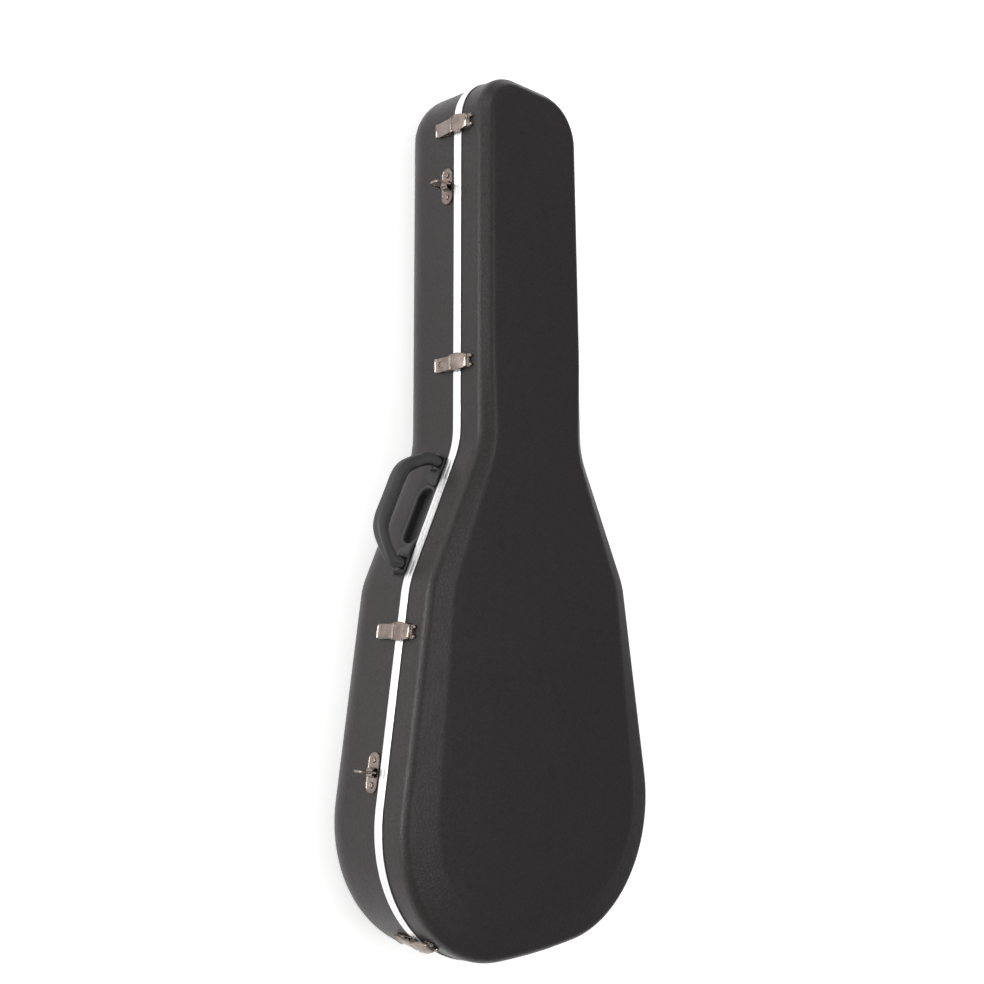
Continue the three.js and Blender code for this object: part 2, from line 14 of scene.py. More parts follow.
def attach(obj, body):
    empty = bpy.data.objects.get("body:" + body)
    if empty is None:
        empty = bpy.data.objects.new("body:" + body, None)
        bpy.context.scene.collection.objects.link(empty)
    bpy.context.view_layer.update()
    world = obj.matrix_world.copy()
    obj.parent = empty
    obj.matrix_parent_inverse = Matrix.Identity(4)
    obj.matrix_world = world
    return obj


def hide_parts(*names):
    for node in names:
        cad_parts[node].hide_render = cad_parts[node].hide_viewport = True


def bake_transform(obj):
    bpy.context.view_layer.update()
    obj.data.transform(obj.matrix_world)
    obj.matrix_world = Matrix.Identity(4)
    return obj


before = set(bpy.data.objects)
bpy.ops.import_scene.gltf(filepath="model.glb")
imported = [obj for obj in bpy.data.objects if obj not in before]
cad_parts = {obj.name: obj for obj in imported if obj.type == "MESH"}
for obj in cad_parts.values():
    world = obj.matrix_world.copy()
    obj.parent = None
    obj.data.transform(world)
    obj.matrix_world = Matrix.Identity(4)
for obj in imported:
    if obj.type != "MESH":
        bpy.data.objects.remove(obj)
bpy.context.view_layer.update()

MM = 0.001

# ---- driving dimensions

CASE_LENGTH = 1080
SEAM_Z = 110
BACK_EDGE_RADIUS = 50
WALL = 3
GAP = 0.3
RIM_DROP = 1.7
LID_RIM_RISE = 2.8
LID_TOP = 158

# Half outline, as corners: distance from the lower end, half width, corner radius.
HALF_OUTLINE = [(13, 248, 165), (445, 178.2, 90), (613, 95, 92), (1080, 89, 62)]
END_CROWN_RADIUS = 900
ARC_STEP = math.radians(3)
STRAIGHT_STEP = 18
SAME_DIRECTION = 0.9999

HANDLE_SIDE = -1
HINGE_SIDE = 1
LATCH_PLACES = {"head": -474, "neck": -173, "body": 152, "end": 501}
STRAP_RING_PLACES = {"upper": -399, "lower": 309}
HINGE_PLACES = {"lower": 325, "middle": 225, "upper": 125}
HANDLE_PLACE = 15


# ---- camera, light and floor

CAMERA_AZIMUTH = math.radians(46.33)
CAMERA_PITCH = math.radians(5.43)
CAMERA_ROLL = math.radians(-0.5)
CAMERA_DISTANCE = 1.562
CAMERA_HEIGHT = 0.412
CAMERA_ASIDE = -0.0242
PIXELS_PER_METRE = 795
FRAME_PIXELS = 984
SENSOR_MM = 36
BRIGHT_SIDE = Vector((-0.25, -1, 0.35))
ROOM_DIM = 0.3
ROOM_BRIGHT = 0.5
ROOM_COLOR = (1, 0.985, 0.97, 1)
FLOOR_HALF = 14
FLOOR_GAP = 0.0004
FLOOR_GLOW_NEAR = 0.44
FLOOR_GLOW_FAR = 0.8
FLOOR_GLOW_REACH = (0.5, 2.2)
CAMERA_CLIP_END = 50
# Name, place, target, size in metres and power in watts.
AREA_LIGHTS = [
    ("side_strip", (-0.1, -2.3, 0.42), (0, 0, 0.1), (2.2, 0.26), 46),
    ("front_fill", (-0.2, -1.8, 1.6), (0, 0, 0.1), (1.6, 0.9), 9),
    ("top_light", (0, 0.5, 2.2), (0, 0, 0.1), (2.4, 0.5), 17),
    ("head_window", (-2.0, -1.3, 0.9), (-0.1, 0, 0.1), (1.0, 0.9), 11),
]


def make_camera():
    head_up = Vector((-1, 0, 0))
    level = Vector((0, math.sin(CAMERA_AZIMUTH), -math.cos(CAMERA_AZIMUTH)))
    right = Vector((0, math.cos(CAMERA_AZIMUTH), math.sin(CAMERA_AZIMUTH)))
    foot = Vector((CASE_LENGTH / 2 * MM, 0, SEAM_Z * MM))
    place = foot - level * CAMERA_DISTANCE + right * CAMERA_ASIDE + head_up * CAMERA_HEIGHT
    forward = level * math.cos(CAMERA_PITCH) + head_up * math.sin(CAMERA_PITCH)
    upward = head_up * math.cos(CAMERA_PITCH) - level * math.sin(CAMERA_PITCH)
    rolled_right = right * math.cos(CAMERA_ROLL) + upward * math.sin(CAMERA_ROLL)
    rolled_up = upward * math.cos(CAMERA_ROLL) - right * math.sin(CAMERA_ROLL)
    data = bpy.data.cameras.new("camera")
    data.sensor_width = SENSOR_MM
    data.lens = SENSOR_MM * PIXELS_PER_METRE * CAMERA_DISTANCE / FRAME_PIXELS
    data.clip_end = CAMERA_CLIP_END
    camera = bpy.data.objects.new("camera", data)
    turn = Matrix((rolled_right, rolled_up, -forward)).transposed().to_4x4()
    camera.matrix_world = Matrix.Translation(place) @ turn
    bpy.context.scene.collection.objects.link(camera)
    bpy.context.scene.camera = camera


def aim(location, target):
    direction = Vector(target) - Vector(location)
    return direction.to_track_quat("-Z", "Y").to_matrix().to_4x4()


def area_light(name, location, target, size, power):
    data = bpy.data.lights.new(name, "AREA")
    data.shape = "RECTANGLE"
    data.size, data.size_y = size
    data.energy = power
    light = bpy.data.objects.new(name, data)
    light.matrix_world = Matrix.Translation(Vector(location)) @ aim(location, target)
    bpy.context.scene.collection.objects.link(light)


def make_light():
    """Soft room, brighter towards the handle side, with a long low strip light on that side."""
    world = bpy.data.worlds.new("studio")
    world.use_nodes = True
    tree = world.node_tree
    direction = tree.nodes.new("ShaderNodeTexCoord").outputs["Generated"]
    facing = tree.nodes.new("ShaderNodeVectorMath")
    facing.operation = "DOT_PRODUCT"
    facing.inputs[1].default_value = BRIGHT_SIDE.normalized()
    tree.links.new(direction, facing.inputs[0])
    strength = tree.nodes.new("ShaderNodeMapRange")
    strength.inputs["From Min"].default_value = -1
    strength.inputs["To Min"].default_value = ROOM_DIM
    strength.inputs["To Max"].default_value = ROOM_BRIGHT
    tree.links.new(facing.outputs["Value"], strength.inputs["Value"])
    tree.links.new(strength.outputs["Result"], tree.nodes["Background"].inputs["Strength"])
    tree.nodes["Background"].inputs["Color"].default_value = ROOM_COLOR
    bpy.context.scene.world = world
    bpy.context.scene.view_settings.view_transform = "Standard"
    for light in AREA_LIGHTS:
        area_light(*light)


def make_floor():
    """Pale floor just under the case, so that the two don't share a plane."""
    half = FLOOR_HALF
    mesh = bpy.data.meshes.new("floor")
    corners = [(-half, -half, 0), (half, -half, 0), (half, half, 0), (-half, half, 0)]
    mesh.from_pydata(corners, [], [(0, 1, 2, 3)])
    floor = bpy.data.objects.new("floor", mesh)
    floor.location.z = -FLOOR_GAP
    bpy.context.scene.collection.objects.link(floor)
    mesh.materials.append(floor_material())


# ---- materials


class Shader:
    """Node material builder around one Principled shader."""

    def __init__(self, name, settings):
        self.material = bpy.data.materials.new(name)
        self.material.use_nodes = True
        self.tree = self.material.node_tree
        self.principled = self.tree.nodes["Principled BSDF"]
        for socket, value in settings.items():
            self.principled.inputs[socket].default_value = value
        self.place = self.node("ShaderNodeTexCoord").outputs["Object"]

    def node(self, kind, **values):
        node = self.tree.nodes.new(kind)
        for key, value in values.items():
            setattr(node, key, value)
        return node

    def link(self, source, target):
        self.tree.links.new(source, target)

    def stretched(self, scale):
        mapping = self.node("ShaderNodeMapping")
        mapping.inputs["Scale"].default_value = scale
        self.link(self.place, mapping.inputs["Vector"])
        return mapping.outputs["Vector"]

    def noise(self, scale, detail=3, roughness=0.55, vector=None):
        noise = self.node("ShaderNodeTexNoise")
        noise.inputs["Scale"].default_value = scale
        noise.inputs["Detail"].default_value = detail
        noise.inputs["Roughness"].default_value = roughness
        self.link(vector or self.place, noise.inputs["Vector"])
        return noise.outputs["Fac"]

    def cells(self, scale, feature):
        cells = self.node("ShaderNodeTexVoronoi", feature=feature)
        cells.inputs["Scale"].default_value = scale
        self.link(self.place, cells.inputs["Vector"])
        return cells.outputs["Distance"]

    def math(self, operation, first, second):
        node = self.node("ShaderNodeMath", operation=operation)
        for socket, value in zip(node.inputs, (first, second)):
            if isinstance(value, (int, float)):
                socket.default_value = value
            else:
                self.link(value, socket)
        return node.outputs["Value"]

    def weighted(self, *terms):
        """Sum of (value, weight) terms."""
        products = [self.math("MULTIPLY", value, weight) for value, weight in terms]
        total = products[0]
        for product in products[1:]:
            total = self.math("ADD", total, product)
        return total

    def ramp(self, factor, low, high, start=0.0, end=1.0):
        """Maps start..end of the factor onto low..high, clamped."""
        node = self.node("ShaderNodeMapRange")
        limits = {"From Min": start, "From Max": end, "To Min": low, "To Max": high}
        for socket, value in limits.items():
            node.inputs[socket].default_value = value
        self.link(factor, node.inputs["Value"])
        return node.outputs["Result"]

    def color(self, factor, dark, light, start=0.0, end=1.0):
        node = self.node("ShaderNodeValToRGB")
        first, last = node.color_ramp.elements
        first.position, first.color = start, (*dark, 1)
        last.position, last.color = end, (*light, 1)
        self.link(factor, node.inputs["Fac"])
        self.link(node.outputs["Color"], self.principled.inputs["Base Color"])

    def roughness(self, factor, low, high, start=0.0, end=1.0):
        self.link(self.ramp(factor, low, high, start, end), self.principled.inputs["Roughness"])

    def bump(self, height, strength, distance):
        node = self.node("ShaderNodeBump")
        node.inputs["Strength"].default_value = strength
        node.inputs["Distance"].default_value = distance
        self.link(height, node.inputs["Height"])
        self.link(node.outputs["Normal"], self.principled.inputs["Normal"])


def floor_material():
    shader = Shader("pale_paper", {"Roughness": 0.9, "Emission Color": (1, 1, 1, 1)})
    distance = shader.node("ShaderNodeVectorMath", operation="LENGTH")
    shader.link(shader.place, distance.inputs[0])
    glow = shader.ramp(distance.outputs["Value"], FLOOR_GLOW_NEAR, FLOOR_GLOW_FAR, *FLOOR_GLOW_REACH)
    shader.link(glow, shader.principled.inputs["Emission Strength"])
    shader.color(shader.noise(3), (0.93, 0.93, 0.93), (0.96, 0.96, 0.96))
    shader.bump(shader.noise(260), 0.05, 0.0004)
    return shader.material


def shell_material():
    """Charcoal moulded plastic with a pebbled leather grain and faint scuffs."""
    shader = Shader("shell_plastic", {"Specular IOR Level": 0.22})
    pebbles = shader.ramp(shader.cells(640, "SMOOTH_F1"), 1, 0, 0.05, 0.75)
    creases = shader.ramp(shader.cells(210, "DISTANCE_TO_EDGE"), 0, 1, 0.0, 0.2)
    soft = shader.noise(170, 4, 0.6)
    height = shader.weighted((pebbles, 0.4), (creases, 0.6), (soft, 0.6))
    shader.bump(height, 0.2, 0.0011)
    # Colour: a slow random drift of tone plus painted shade that darkens the grain's creases and
    # hollows.
    drift_and_hollow_shade = shader.weighted((shader.noise(1.4, 4), 0.6), (height, 0.35))
    shader.color(drift_and_hollow_shade, (0.0145, 0.0125, 0.0128), (0.028, 0.0245, 0.025), 0.35, 0.95)
    scuffs = shader.noise(26, 6, 0.7, shader.stretched((1, 2.6, 1.7)))
    shader.roughness(scuffs, 0.34, 0.44, 0.35, 0.7)
    return shader.material


def handle_material():
    """Smooth black moulded plastic, worn a little glossier where it is held."""
    shader = Shader("handle_plastic", {"Specular IOR Level": 0.45})
    # Very dark colour: the handle's own black, kept darker still as painted shade for the hand recess
    # dish, which uses this material too.
    shader.color(shader.noise(9, 3), (0.012, 0.0115, 0.012), (0.02, 0.019, 0.02), 0.3, 0.7)
    shader.roughness(shader.noise(38, 5, 0.65), 0.42, 0.56, 0.3, 0.7)
    fine = shader.noise(900, 3, 0.6)
    shader.bump(fine, 0.16, 0.0002)
    return shader.material


def aluminium_material():
    """Satin drawn aluminium: fine lines and faint rubbing marks."""
    shader = Shader("valance_metal", {"Metallic": 1.0})
    shader.color(shader.noise(14, 4), (0.77, 0.775, 0.78), (0.85, 0.85, 0.85), 0.3, 0.7)
    lines = shader.noise(420, 2, 0.5, shader.stretched((0.12, 0.12, 6)))
    shader.roughness(lines, 0.3, 0.44, 0.3, 0.7)
    rubs = shader.noise(1500, 2, 0.5, shader.stretched((0.06, 0.06, 3)))
    shader.bump(shader.math("ADD", lines, rubs), 0.1, 0.0001)
    return shader.material


def nickel_material():
    """Warm nickel plate, softly brushed, with handling marks. Its colour is kept dark and mottled:
    partly plating tone, partly painted shade and glints standing in for dim reflections and small
    dents.
    """
    shader = Shader("nickel_hardware", {"Metallic": 1.0})
    # Dark, mottled colour: plating tone plus painted shade and glints for dim reflections and small
    # dents.
    shader.color(shader.noise(60, 4), (0.15, 0.12, 0.105), (0.28, 0.235, 0.21), 0.32, 0.68)
    brushed = shader.noise(900, 2, 0.5, shader.stretched((1, 1, 0.12)))
    shader.roughness(shader.noise(180, 5, 0.65), 0.16, 0.34, 0.3, 0.72)
    shader.bump(brushed, 0.06, 0.0001)
    return shader.material


def plush_material():
    """Short grey pile over foam, brushed in patches."""
    shader = Shader("plush_lining", {"Roughness": 0.95, "Sheen Weight": 0.45, "Sheen Roughness": 0.4})
    patches = shader.noise(22, 5, 0.65)
    shader.color(patches, (0.085, 0.086, 0.094), (0.15, 0.15, 0.162), 0.3, 0.72)
    pile = shader.math("ADD", shader.noise(1300, 3, 0.7), shader.math("MULTIPLY", patches, 1.4))
    shader.bump(pile, 0.7, 0.0009)
    return shader.material


def webbing_material():
    """Woven black tape: ribs across it, with a fuzzy thread texture."""
    shader = Shader("webbing", {"Roughness": 0.85, "Sheen Weight": 0.25})
    wave = shader.node("ShaderNodeTexWave", wave_type="BANDS", bands_direction="DIAGONAL")
    wave.inputs["Scale"].default_value = 420
    wave.inputs["Distortion"].default_value = 0.6
    shader.link(shader.place, wave.inputs["Vector"])
    ribs = wave.outputs["Fac"]
    shader.color(ribs, (0.012, 0.012, 0.014), (0.032, 0.032, 0.036), 0.1, 0.9)
    shader.bump(shader.math("ADD", ribs, shader.noise(2400, 2)), 0.6, 0.0004)
    return shader.material


MATERIALS = {
    "shell_plastic": shell_material(),
    "handle_plastic": handle_material(),
    "valance_metal": aluminium_material(),
    "nickel_hardware": nickel_material(),
    "plush_lining": plush_material(),
    "webbing": webbing_material(),
}

# ---- mesh helpers

SMOOTH_ANGLE = math.radians(32)
WELD_DISTANCE = 1e-6
NEARLY_STRAIGHT = math.radians(176)


def shade_smooth(mesh):
    mesh.polygons.foreach_set("use_smooth", [True] * len(mesh.polygons))
    mesh.set_sharp_from_angle(angle=SMOOTH_ANGLE)


def add_piece(name, part, slot, body):
    vertices, faces = part
    mesh = bpy.data.meshes.new(name)
    mesh.from_pydata([Vector(v) * MM for v in vertices], [], faces)
    work = bmesh.new()
    work.from_mesh(mesh)
    bmesh.ops.remove_doubles(work, verts=work.verts, dist=WELD_DISTANCE)
    bmesh.ops.recalc_face_normals(work, faces=work.faces)
    work.to_mesh(mesh)
    work.free()
    shade_smooth(mesh)
    mesh.materials.append(MATERIALS[slot])
    piece = bpy.data.objects.new(name, mesh)
    bpy.context.scene.collection.objects.link(piece)
    if body:
        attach(piece, body)
    return piece


def stand_in(name, part, slot, body, node):
    """A piece that stands for one CAD node."""
    piece = add_piece(name, part, slot, body)
    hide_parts(node)
    return piece


def merged(*parts):
    """One list of vertices and faces out of several (vertices, faces) pairs."""
    vertices, faces = [], []
    for part_vertices, part_faces in parts:
        offset = len(vertices)
        vertices += part_vertices
        faces += [tuple(i + offset for i in face) for face in part_faces]
    return vertices, faces


def placed(matrix, part):
    vertices, faces = part
    return [matrix @ Vector(v) for v in vertices], faces


def loft(rings, capped=True, looped=False):
    """Quads between rings of equal length; the ends are capped, or joined to each other."""
    count = len(rings[0])
    vertices = [v for ring in rings for v in ring]
    spans = len(rings) if looped else len(rings) - 1
    faces = []
    for i in range(spans):
        here, after = i * count, (i + 1) % len(rings) * count
        for k in range(count):
            j = (k + 1) % count
            faces.append((here + k, here + j, after + j, after + k))
    if capped and not looped:
        faces.append(tuple(range(count - 1, -1, -1)))
        faces.append(tuple(range(len(vertices) - count, len(vertices))))
    return vertices, faces


def smooth_line(points, per_span):
    """Catmull-Rom curve through the points."""
    points = [Vector(p) for p in points]
    padded = [2 * points[0] - points[1], *points, 2 * points[-1] - points[-2]]
    result = []
    for a, b, c, d in zip(padded, padded[1:], padded[2:], padded[3:]):
        for k in range(per_span):
            t = k / per_span
            result.append(0.5 * (2 * b + (c - a) * t + (2 * a - 5 * b + 4 * c - d) * t ** 2
                                 + (3 * b - a - 3 * c + d) * t ** 3))
    return [*result, points[-1]]


def corner_arc(before, corner, after, radius):
    """Arc that rounds a corner: centre, start angle and turn, or None where there is none."""
    here = Vector(corner)
    backward = (Vector(before) - here).normalized()
    forward = (Vector(after) - here).normalized()
    opening = math.acos(max(-1, min(1, backward.dot(forward))))
    if radius <= 0 or opening > NEARLY_STRAIGHT:
        return None
    centre = here + (backward + forward).normalized() * (radius / math.sin(opening / 2))
    start = here + backward * (radius / math.tan(opening / 2)) - centre
    cross = forward.x * backward.y - forward.y * backward.x
    turn = math.copysign(math.pi - opening, cross)
    return centre, math.atan2(start.y, start.x), turn


def rounded_corners(points, radii, steps=4):
    """Closed 2-D polygon with rounded corners; radii is one radius or a list of them."""
    if not hasattr(radii, "__len__"):
        radii = [radii] * len(points)
    result = []
    for i, corner in enumerate(points):
        arc = corner_arc(points[i - 1], corner, points[(i + 1) % len(points)], radii[i])
        if arc is None:
            result.append(Vector(corner))
            continue
        centre, first, turn = arc
        for k in range(steps + 1):
            angle = first + turn * k / steps
            result.append(centre + Vector((math.cos(angle), math.sin(angle))) * radii[i])
    return result


def rectangle(low_x, low_y, high_x, high_y):
    return [(low_x, low_y), (high_x, low_y), (high_x, high_y), (low_x, high_y)]


def stadium(half_length, radius, steps=8):
    """Round-ended outline, as (along, across)."""
    straight = half_length - radius
    points = []
    for sign, start in ((1, -90), (-1, 90)):
        for k in range(steps + 1):
            angle = math.radians(start + 180 * k / steps)
            points.append((sign * straight + radius * math.cos(angle), radius * math.sin(angle)))
    return points


def shrunk(points, amount):
    """Closed 2-D outline moved inwards, where it runs counterclockwise."""
    result = []
    count = len(points)
    for i in range(count):
        before, here, after = (Vector(points[j % count]) for j in (i - 1, i, i + 1))
        along = ((here - before).normalized() + (after - here).normalized()).normalized()
        result.append(here + Vector((-along.y, along.x)) * amount)
    return result


def rounded_edge(edge, steps):
    """Inset and rise at each step of a rounded edge, from its face outwards."""
    angles = [math.pi / 2 * k / steps for k in range(steps + 1)]
    return [(edge * (1 - math.sin(a)), edge * (1 - math.cos(a))) for a in angles]


def soft_prism(outline, low, high, edge, steps=3):
    """Prism of a 2-D outline between two levels, with rounded edges: (a, b, level) points."""
    area = sum(a[0] * b[1] - b[0] * a[1] for a, b in zip(outline, [*outline[1:], outline[0]]))
    if area < 0:
        outline = outline[::-1]
    rings = [(inset, low + rise) for inset, rise in rounded_edge(edge, steps)]
    rings += [(inset, low + high - level) for inset, level in reversed(rings)]
    return loft([[(p[0], p[1], level) for p in shrunk(outline, inset)] for inset, level in rings])


def across(part):
    """Turns a prism of (outward, up, along) points into wall coordinates (along, outward, up)."""
    vertices, faces = part
    return [(v[2], v[0], v[1]) for v in vertices], faces


def outwards(part):
    """Turns a prism of (along, up, outward) points into wall coordinates."""
    vertices, faces = part
    return [(v[0], v[2], v[1]) for v in vertices], faces


def boss(outline, low, high, edge, steps=3):
    """Raised shape on the wall, from its (along, up) outline."""
    return outwards(soft_prism(outline, low, high, edge, steps))


def cheek(outline, middle, half, edge, steps=3):
    """Plate that stands across the wall's length, from its (outward, up) outline."""
    return across(soft_prism(outline, middle - half, middle + half, edge, steps))


def lathe(profile, steps=20):
    """Solid turned about its axis from (radius, height) points, with capped ends."""
    rings = [
        [(r * math.cos(2 * math.pi * k / steps), r * math.sin(2 * math.pi * k / steps), h)
         for k in range(steps)]
        for r, h in profile
    ]
    return loft(rings)


def turned(profile, x, up, steps=20):
    """Turned part that stands straight out of the wall."""
    return placed(Matrix.Translation((x, 0, up)), outwards(lathe(profile, steps)))


def directions(points):
    """Each point of an open line, with the direction that the line has there."""
    last = len(points) - 1
    for i, point in enumerate(points):
        yield point, (points[min(i + 1, last)] - points[max(i - 1, 0)]).normalized()


def both_sides(spots, thickness):
    """Two rows of points, half the thickness to each side of a line in the XY plane."""
    outer, inner = [], []
    for spot, along in directions(spots):
        normal = Vector((-along.y, along.x, 0)) * thickness / 2
        outer.append(spot + normal)
        inner.append(spot - normal)
    return outer, inner


def tube(path, radius, steps=12):
    """Closed ring of round wire along a path of 3-D points."""
    points = [Vector(p) for p in path]
    angles = [2 * math.pi * k / steps for k in range(steps)]
    rings = []
    normal = None
    for i, point in enumerate(points):
        along = (points[(i + 1) % len(points)] - points[i - 1]).normalized()
        if normal is None:
            normal = along.orthogonal().normalized()
        normal = (normal - along * normal.dot(along)).normalized()
        side = along.cross(normal)
        rings.append([point + (normal * math.cos(a) + side * math.sin(a)) * radius for a in angles])
    return loft(rings, looped=True)


# ---- case outline


def corner_arcs():
    """Centre, radius, start angle and turn of each rounded corner of the case."""
    half = [(CASE_LENGTH / 2 - along, width, radius) for along, width, radius in HALF_OUTLINE]
    mirrored = [(x, -width, radius) for x, width, radius in reversed(half)]
    corners = [(CASE_LENGTH / 2, 0, END_CROWN_RADIUS), *half, *mirrored]
    arcs = []
    for i, (x, y, radius) in enumerate(corners):
        after = corners[(i + 1) % len(corners)][:2]
        centre, start, turn = corner_arc(corners[i - 1][:2], (x, y), after, radius)
        arcs.append((centre, radius, start, turn))
    return arcs


def case_outline():
    """Points of the side wall with their outward normals, counterclockwise seen from the lid."""
    samples = []
    for centre, radius, start, turn in corner_arcs():
        steps = max(3, math.ceil(abs(turn) / ARC_STEP))
        for k in range(steps + 1):
            angle = start + turn * k / steps
            ray = Vector((math.cos(angle), math.sin(angle)))
            samples.append((centre + ray * radius, ray * math.copysign(1, turn)))
    result = []
    for i, (point, normal) in enumerate(samples):
        result.append((point, normal))
        after, normal_after = samples[(i + 1) % len(samples)]
        pieces = int((after - point).length / STRAIGHT_STEP)
        if normal.dot(normal_after) > SAME_DIRECTION:
            result += [(point.lerp(after, k / pieces), normal) for k in range(1, pieces)]
    return result


OUTLINE = case_outline()


def outline_ring(profile_point):
    """Ring around the case; profile_point(x) gives the inset from the wall and the height."""
    ring = []
    for point, normal in OUTLINE:
        inset, height = profile_point(point.x)
        inner = point - normal * inset
        ring.append((inner.x, inner.y, height))
    return ring


def rings_of(profile):
    """Rings of a profile: a list of (inset, height), or a function of x that gives such a list."""
    if not callable(profile):
        return [outline_ring(lambda x, place=place: place) for place in profile]
    count = len(profile(0))
    return [outline_ring(lambda x, i=i: profile(x)[i]) for i in range(count)]


def wall_place(x, side):
    """Matrix of a place on the wall at seam height: local X along it, Y straight out, Z up."""
    count = len(OUTLINE)
    for i, (point, _) in enumerate(OUTLINE):
        after = OUTLINE[(i + 1) % count][0]
        if (point.x - x) * (after.x - x) <= 0 and point.x != after.x and point.y * side > 0:
            share = (x - point.x) / (after.x - point.x)
            y = point.y + (after.y - point.y) * share
            along = (point - after).normalized()
            return Matrix((
                (along.x, -along.y, 0, x),
                (along.y, along.x, 0, y),
                (0, 0, 1, SEAM_Z),
                (0, 0, 0, 1),
            ))
    raise ValueError("no wall there")


def quarter_arc(centre, radius, start, end, steps):
    """Points (inset, height) of an arc; angle 0 points to the wall, 90 degrees upwards."""
    points = []
    for k in range(steps + 1):
        angle = math.radians(start + (end - start) * k / steps)
        points.append((centre[0] - radius * math.cos(angle), centre[1] + radius * math.sin(angle)))
    return points


# ---- shells

LID_EDGE_RADIUS = 12
LID_EDGE_START = SEAM_Z + 30
LID_BAND_MIN = 12
LID_BAND_MAX = 46
LID_BAND_AT_NECK = 10
LID_BAND_WIDENING = 0.06
LID_BAND_WIDENS_FROM = -227
CREASE_HALF = 5


def lid_band_end(x):
    """Inset where the sloped band meets the flat face: narrow at the neck, wide at the lower bout."""
    width = LID_BAND_AT_NECK + LID_BAND_WIDENING * (x - LID_BAND_WIDENS_FROM)
    return max(LID_BAND_MIN, min(LID_BAND_MAX, width))


def lid_band(x, inward=0.0):
    """Edge arc, sloped band, crease and start of the flat face, moved into the wall by `inward`."""
    radius = LID_EDGE_RADIUS
    centre = Vector((radius, LID_EDGE_START))
    crest = Vector((lid_band_end(x), LID_TOP))
    reach = crest - centre
    angle = math.pi - (math.atan2(reach.y, reach.x) + math.acos(radius / reach.length))
    arc = quarter_arc(centre, radius - inward, 0, math.degrees(angle), 8)
    foot = Vector(arc[-1])
    slope = Vector((math.sin(angle), math.cos(angle)))
    top = LID_TOP - inward
    corner = foot + slope * ((top - foot.y) / slope.y)
    band_length = (corner - foot).length
    half = min(CREASE_HALF, band_length * 0.45)
    before, after = corner - slope * half, corner + Vector((half, 0))
    band = [foot.lerp(before, share) for share in (0.33, 0.67, 1.0)]
    crease = []
    for share in (0.25, 0.5, 0.75, 1.0):
        low = before.lerp(corner, share)
        crease.append(low.lerp(corner.lerp(after, share), share))
    return [*arc, *[tuple(p) for p in band + crease], (after.x + 4, top)]


def lid_profile(x):
    rim = SEAM_Z + LID_RIM_RISE
    outer = [(0.5, rim), (0, rim + 0.5), (0, rim + 9), (0, rim + 18), *lid_band(x)]
    inner = [(WALL - 0.5, rim), (WALL, rim + 0.5), (WALL, rim + 14), *lid_band(x, WALL)]
    return inner[::-1] + outer


def base_profile():
    rim = SEAM_Z - RIM_DROP
    centre = (BACK_EDGE_RADIUS, BACK_EDGE_RADIUS)
    walls = (rim - 0.5, rim - 9, rim - 24, rim - 40)
    edge = quarter_arc(centre, BACK_EDGE_RADIUS, 0, -90, 14)
    outer = [(0.5, rim), *[(0, z) for z in walls], *edge]
    inner_radius = BACK_EDGE_RADIUS - WALL
    inner = [(WALL - 0.5, rim), (WALL, rim - 0.5), *quarter_arc(centre, inner_radius, 0, -90, 8)]
    return [*inner[::-1], *outer, (BACK_EDGE_RADIUS + 5, 0)]


RECESS = {"half_length": 37, "radius": 11, "depth": 9, "down": 22.5}
CUT_ABOVE_WALL = 6


def recess_place():
    return wall_place(HANDLE_PLACE, HANDLE_SIDE) @ Matrix.Translation((0, 0, -RECESS["down"]))


def cut_recess(piece, grow, deepest):
    """Removes the room of the hand recess, with its lining, from a shell or a pad."""
    outline = stadium(RECESS["half_length"] + grow, RECESS["radius"] + grow)
    hole = placed(recess_place(), boss(outline, deepest, CUT_ABOVE_WALL, 0.5, 1))
    cutter = add_piece("recess_cutter", hole, "shell_plastic", None)
    cut = piece.modifiers.new("recess", "BOOLEAN")
    cut.object = cutter
    cut.operation = "DIFFERENCE"
    apply_modifiers(piece)
    bpy.data.objects.remove(cutter)


def hand_recess(shell):
    """Cuts the slot for the fingers into the wall and lines it with a moulded dish."""
    half, radius, depth = RECESS["half_length"], RECESS["radius"], RECESS["depth"]
    cut_recess(shell, 2, -6)
    steps = [
        (1.0, -depth - 2.6), (2.8, -depth - 2.2), (2.8, -3.2), (1.9, -3.05), (1.9, 0.05), (5.6, 0.05),
        (5.3, 0.6), (4.5, 1.0), (2.6, 1.1), (1.2, 0.7), (0.4, -0.3), (0, -1.8), (0, -depth + 1.6),
        (-0.5, -depth + 0.5), (-1.6, -depth),
    ]
    rings = [
        [(p[0], outward, p[1]) for p in stadium(half + grow, radius + grow, 12)]
        for grow, outward in steps
    ]
    # The dish takes the darker handle plastic as painted shade in the recess.
    add_piece("hand_recess", placed(recess_place(), loft(rings)), "handle_plastic", "base")


def apply_modifiers(piece):
    """Bakes the piece's modifiers into its mesh."""
    graph = bpy.context.evaluated_depsgraph_get()
    mesh = bpy.data.meshes.new_from_object(piece.evaluated_get(graph))
    piece.modifiers.clear()
    piece.data = mesh
    shade_smooth(mesh)


def shells():
    stand_in("lid_shell_skin", loft(rings_of(lid_profile)), "shell_plastic", "lid", "lid_shell")
    base = add_piece("base_shell_skin", loft(rings_of(base_profile())), "shell_plastic", "base")
    hand_recess(base)
    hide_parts("base_shell")


# ---- aluminium edge strips

VALANCE = {"stand": 1.6, "height": 6.2, "web": 1.2, "seam": 0.15, "inner": 5, "edge": 0.45}
# Tongue on the base's strip that fits into a groove in the lid's.
TONGUE = {"inset": 1.2, "wide": 1.6, "rise": 1.6}


